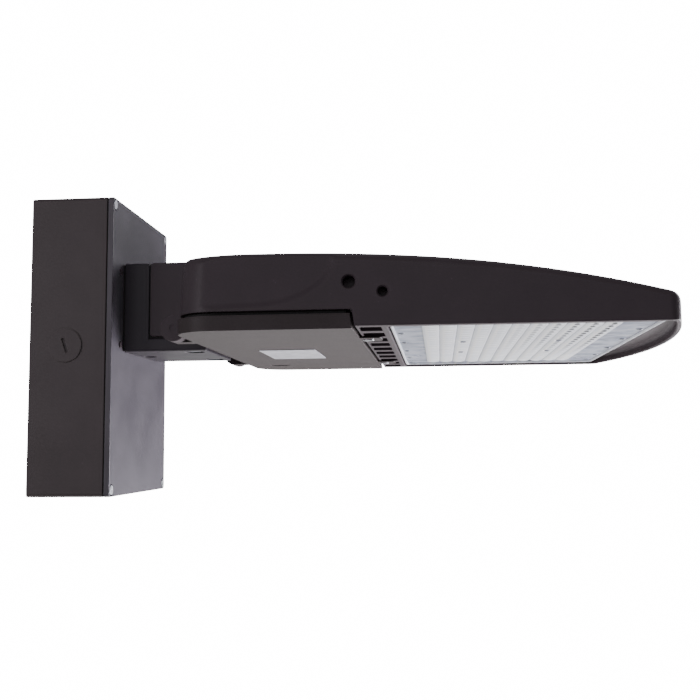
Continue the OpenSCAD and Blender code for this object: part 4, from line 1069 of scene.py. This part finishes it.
def sink_tip(at):
    """Keep the tray screws' tips inside the roof's bosses."""
    at.z = min(at.z, SCREW_TIP_Z * MM)


def shift_screw(at):
    """Set the door's screws back and deeper."""
    at += SCREW_SHIFT


for node, material, width, reshape in (
    ("wall_box", box_coat, 0.8, None),
    ("conduit_plugs", box_coat, 0.3, None),
    ("cover_screws", zinc_plate, 0.25, None),
    ("arm", arm_coat, 0.7, None),
    ("driver_door", door_coat, 0.5, fit_door),
    ("door_screws", zinc_plate, 0.25, shift_screw),
    ("tray_screws", zinc_plate, 0.2, sink_tip),
    ("label_plate", label_foil, 0.15, None),
    ("plate_rivets", casting_coat, 0.4, None),
    ("driver", driver_case, 1.2, None),
    ("surge_protector", black_plastic, 1.2, None),
    ("terminal_block", ivory_plastic, 0.5, None),
):
    made = softened(node, material, width, reshape)
    print(made.name, len(made.data.polygons), "faces")

# %% [markdown]
# ## Leads
#
# Each lead in a bundle has its own colour. One CAD node holds them all, so its copy is split by its loose
# tubes, and each tube takes the next coat. One level of subdivision makes the eight-sided tubes round.

# %% Colour the leads


def loose_parts(work):
    """The faces of each loose part, from the lowest Y up."""
    left, parts = set(work.faces), []
    while left:
        part, edge = set(), [left.pop()]
        while edge:
            face = edge.pop()
            part.add(face)
            near = {other for e in face.edges for other in e.link_faces} & left
            left -= near
            edge += near
        parts.append(part)
    return sorted(parts, key=lambda part: sum(f.calc_center_median().y for f in part) / len(part))


def colour_parts(work):
    """Give each loose part the next material."""
    for i, part in enumerate(loose_parts(work)):
        for face in part:
            face.material_index = i


for node, names in (("supply_leads", ("white", "black", "green")), ("driver_leads", ("white", "black")),
                    ("lamp_leads", ("red", "black"))):
    leads = merged_copy(node, node + "_finish")
    leads.modifiers.new("round", "SUBSURF").levels = 1
    baked(leads)
    stands_for(leads, node, lead_coats[names[0]])
    for name in names[1:]:
        leads.data.materials.append(lead_coats[name])
    edit(leads, colour_parts)
    print(node, len(leads.data.materials), "colours")

# %% Paint the pieces that stay as they are
for node, material in (
    ("box_gasket", gasket_rubber),
    ("arm_gasket", gasket_rubber),
    ("neck_gasket", gasket_rubber),
    ("door_gasket", gasket_rubber),
    ("wire_bushing", gasket_rubber),
    ("lead_grommet", gasket_rubber),
    ("ground_screw", green_screw_steel),
    ("backing_plate", zinc_sheet),
    ("driver_tray", zinc_sheet),
    ("arm_bolts", zinc_plate),
    ("arm_washers", zinc_plate),
    # Painted shade: the neck bolts are dark so that their access holes read dark.
    ("neck_bolts", dark_zinc),
    ("neck_washers", zinc_plate),
    ("driver_screws", zinc_plate),
    ("door_screw_retainers", stainless),
    ("hinge_pins", casting_coat),
    ("terminal_screws", brass),
    ("supply_cable", cable_jacket),
    ("lamp_board", solder_mask),
):
    painted(node, material)
print("painted")
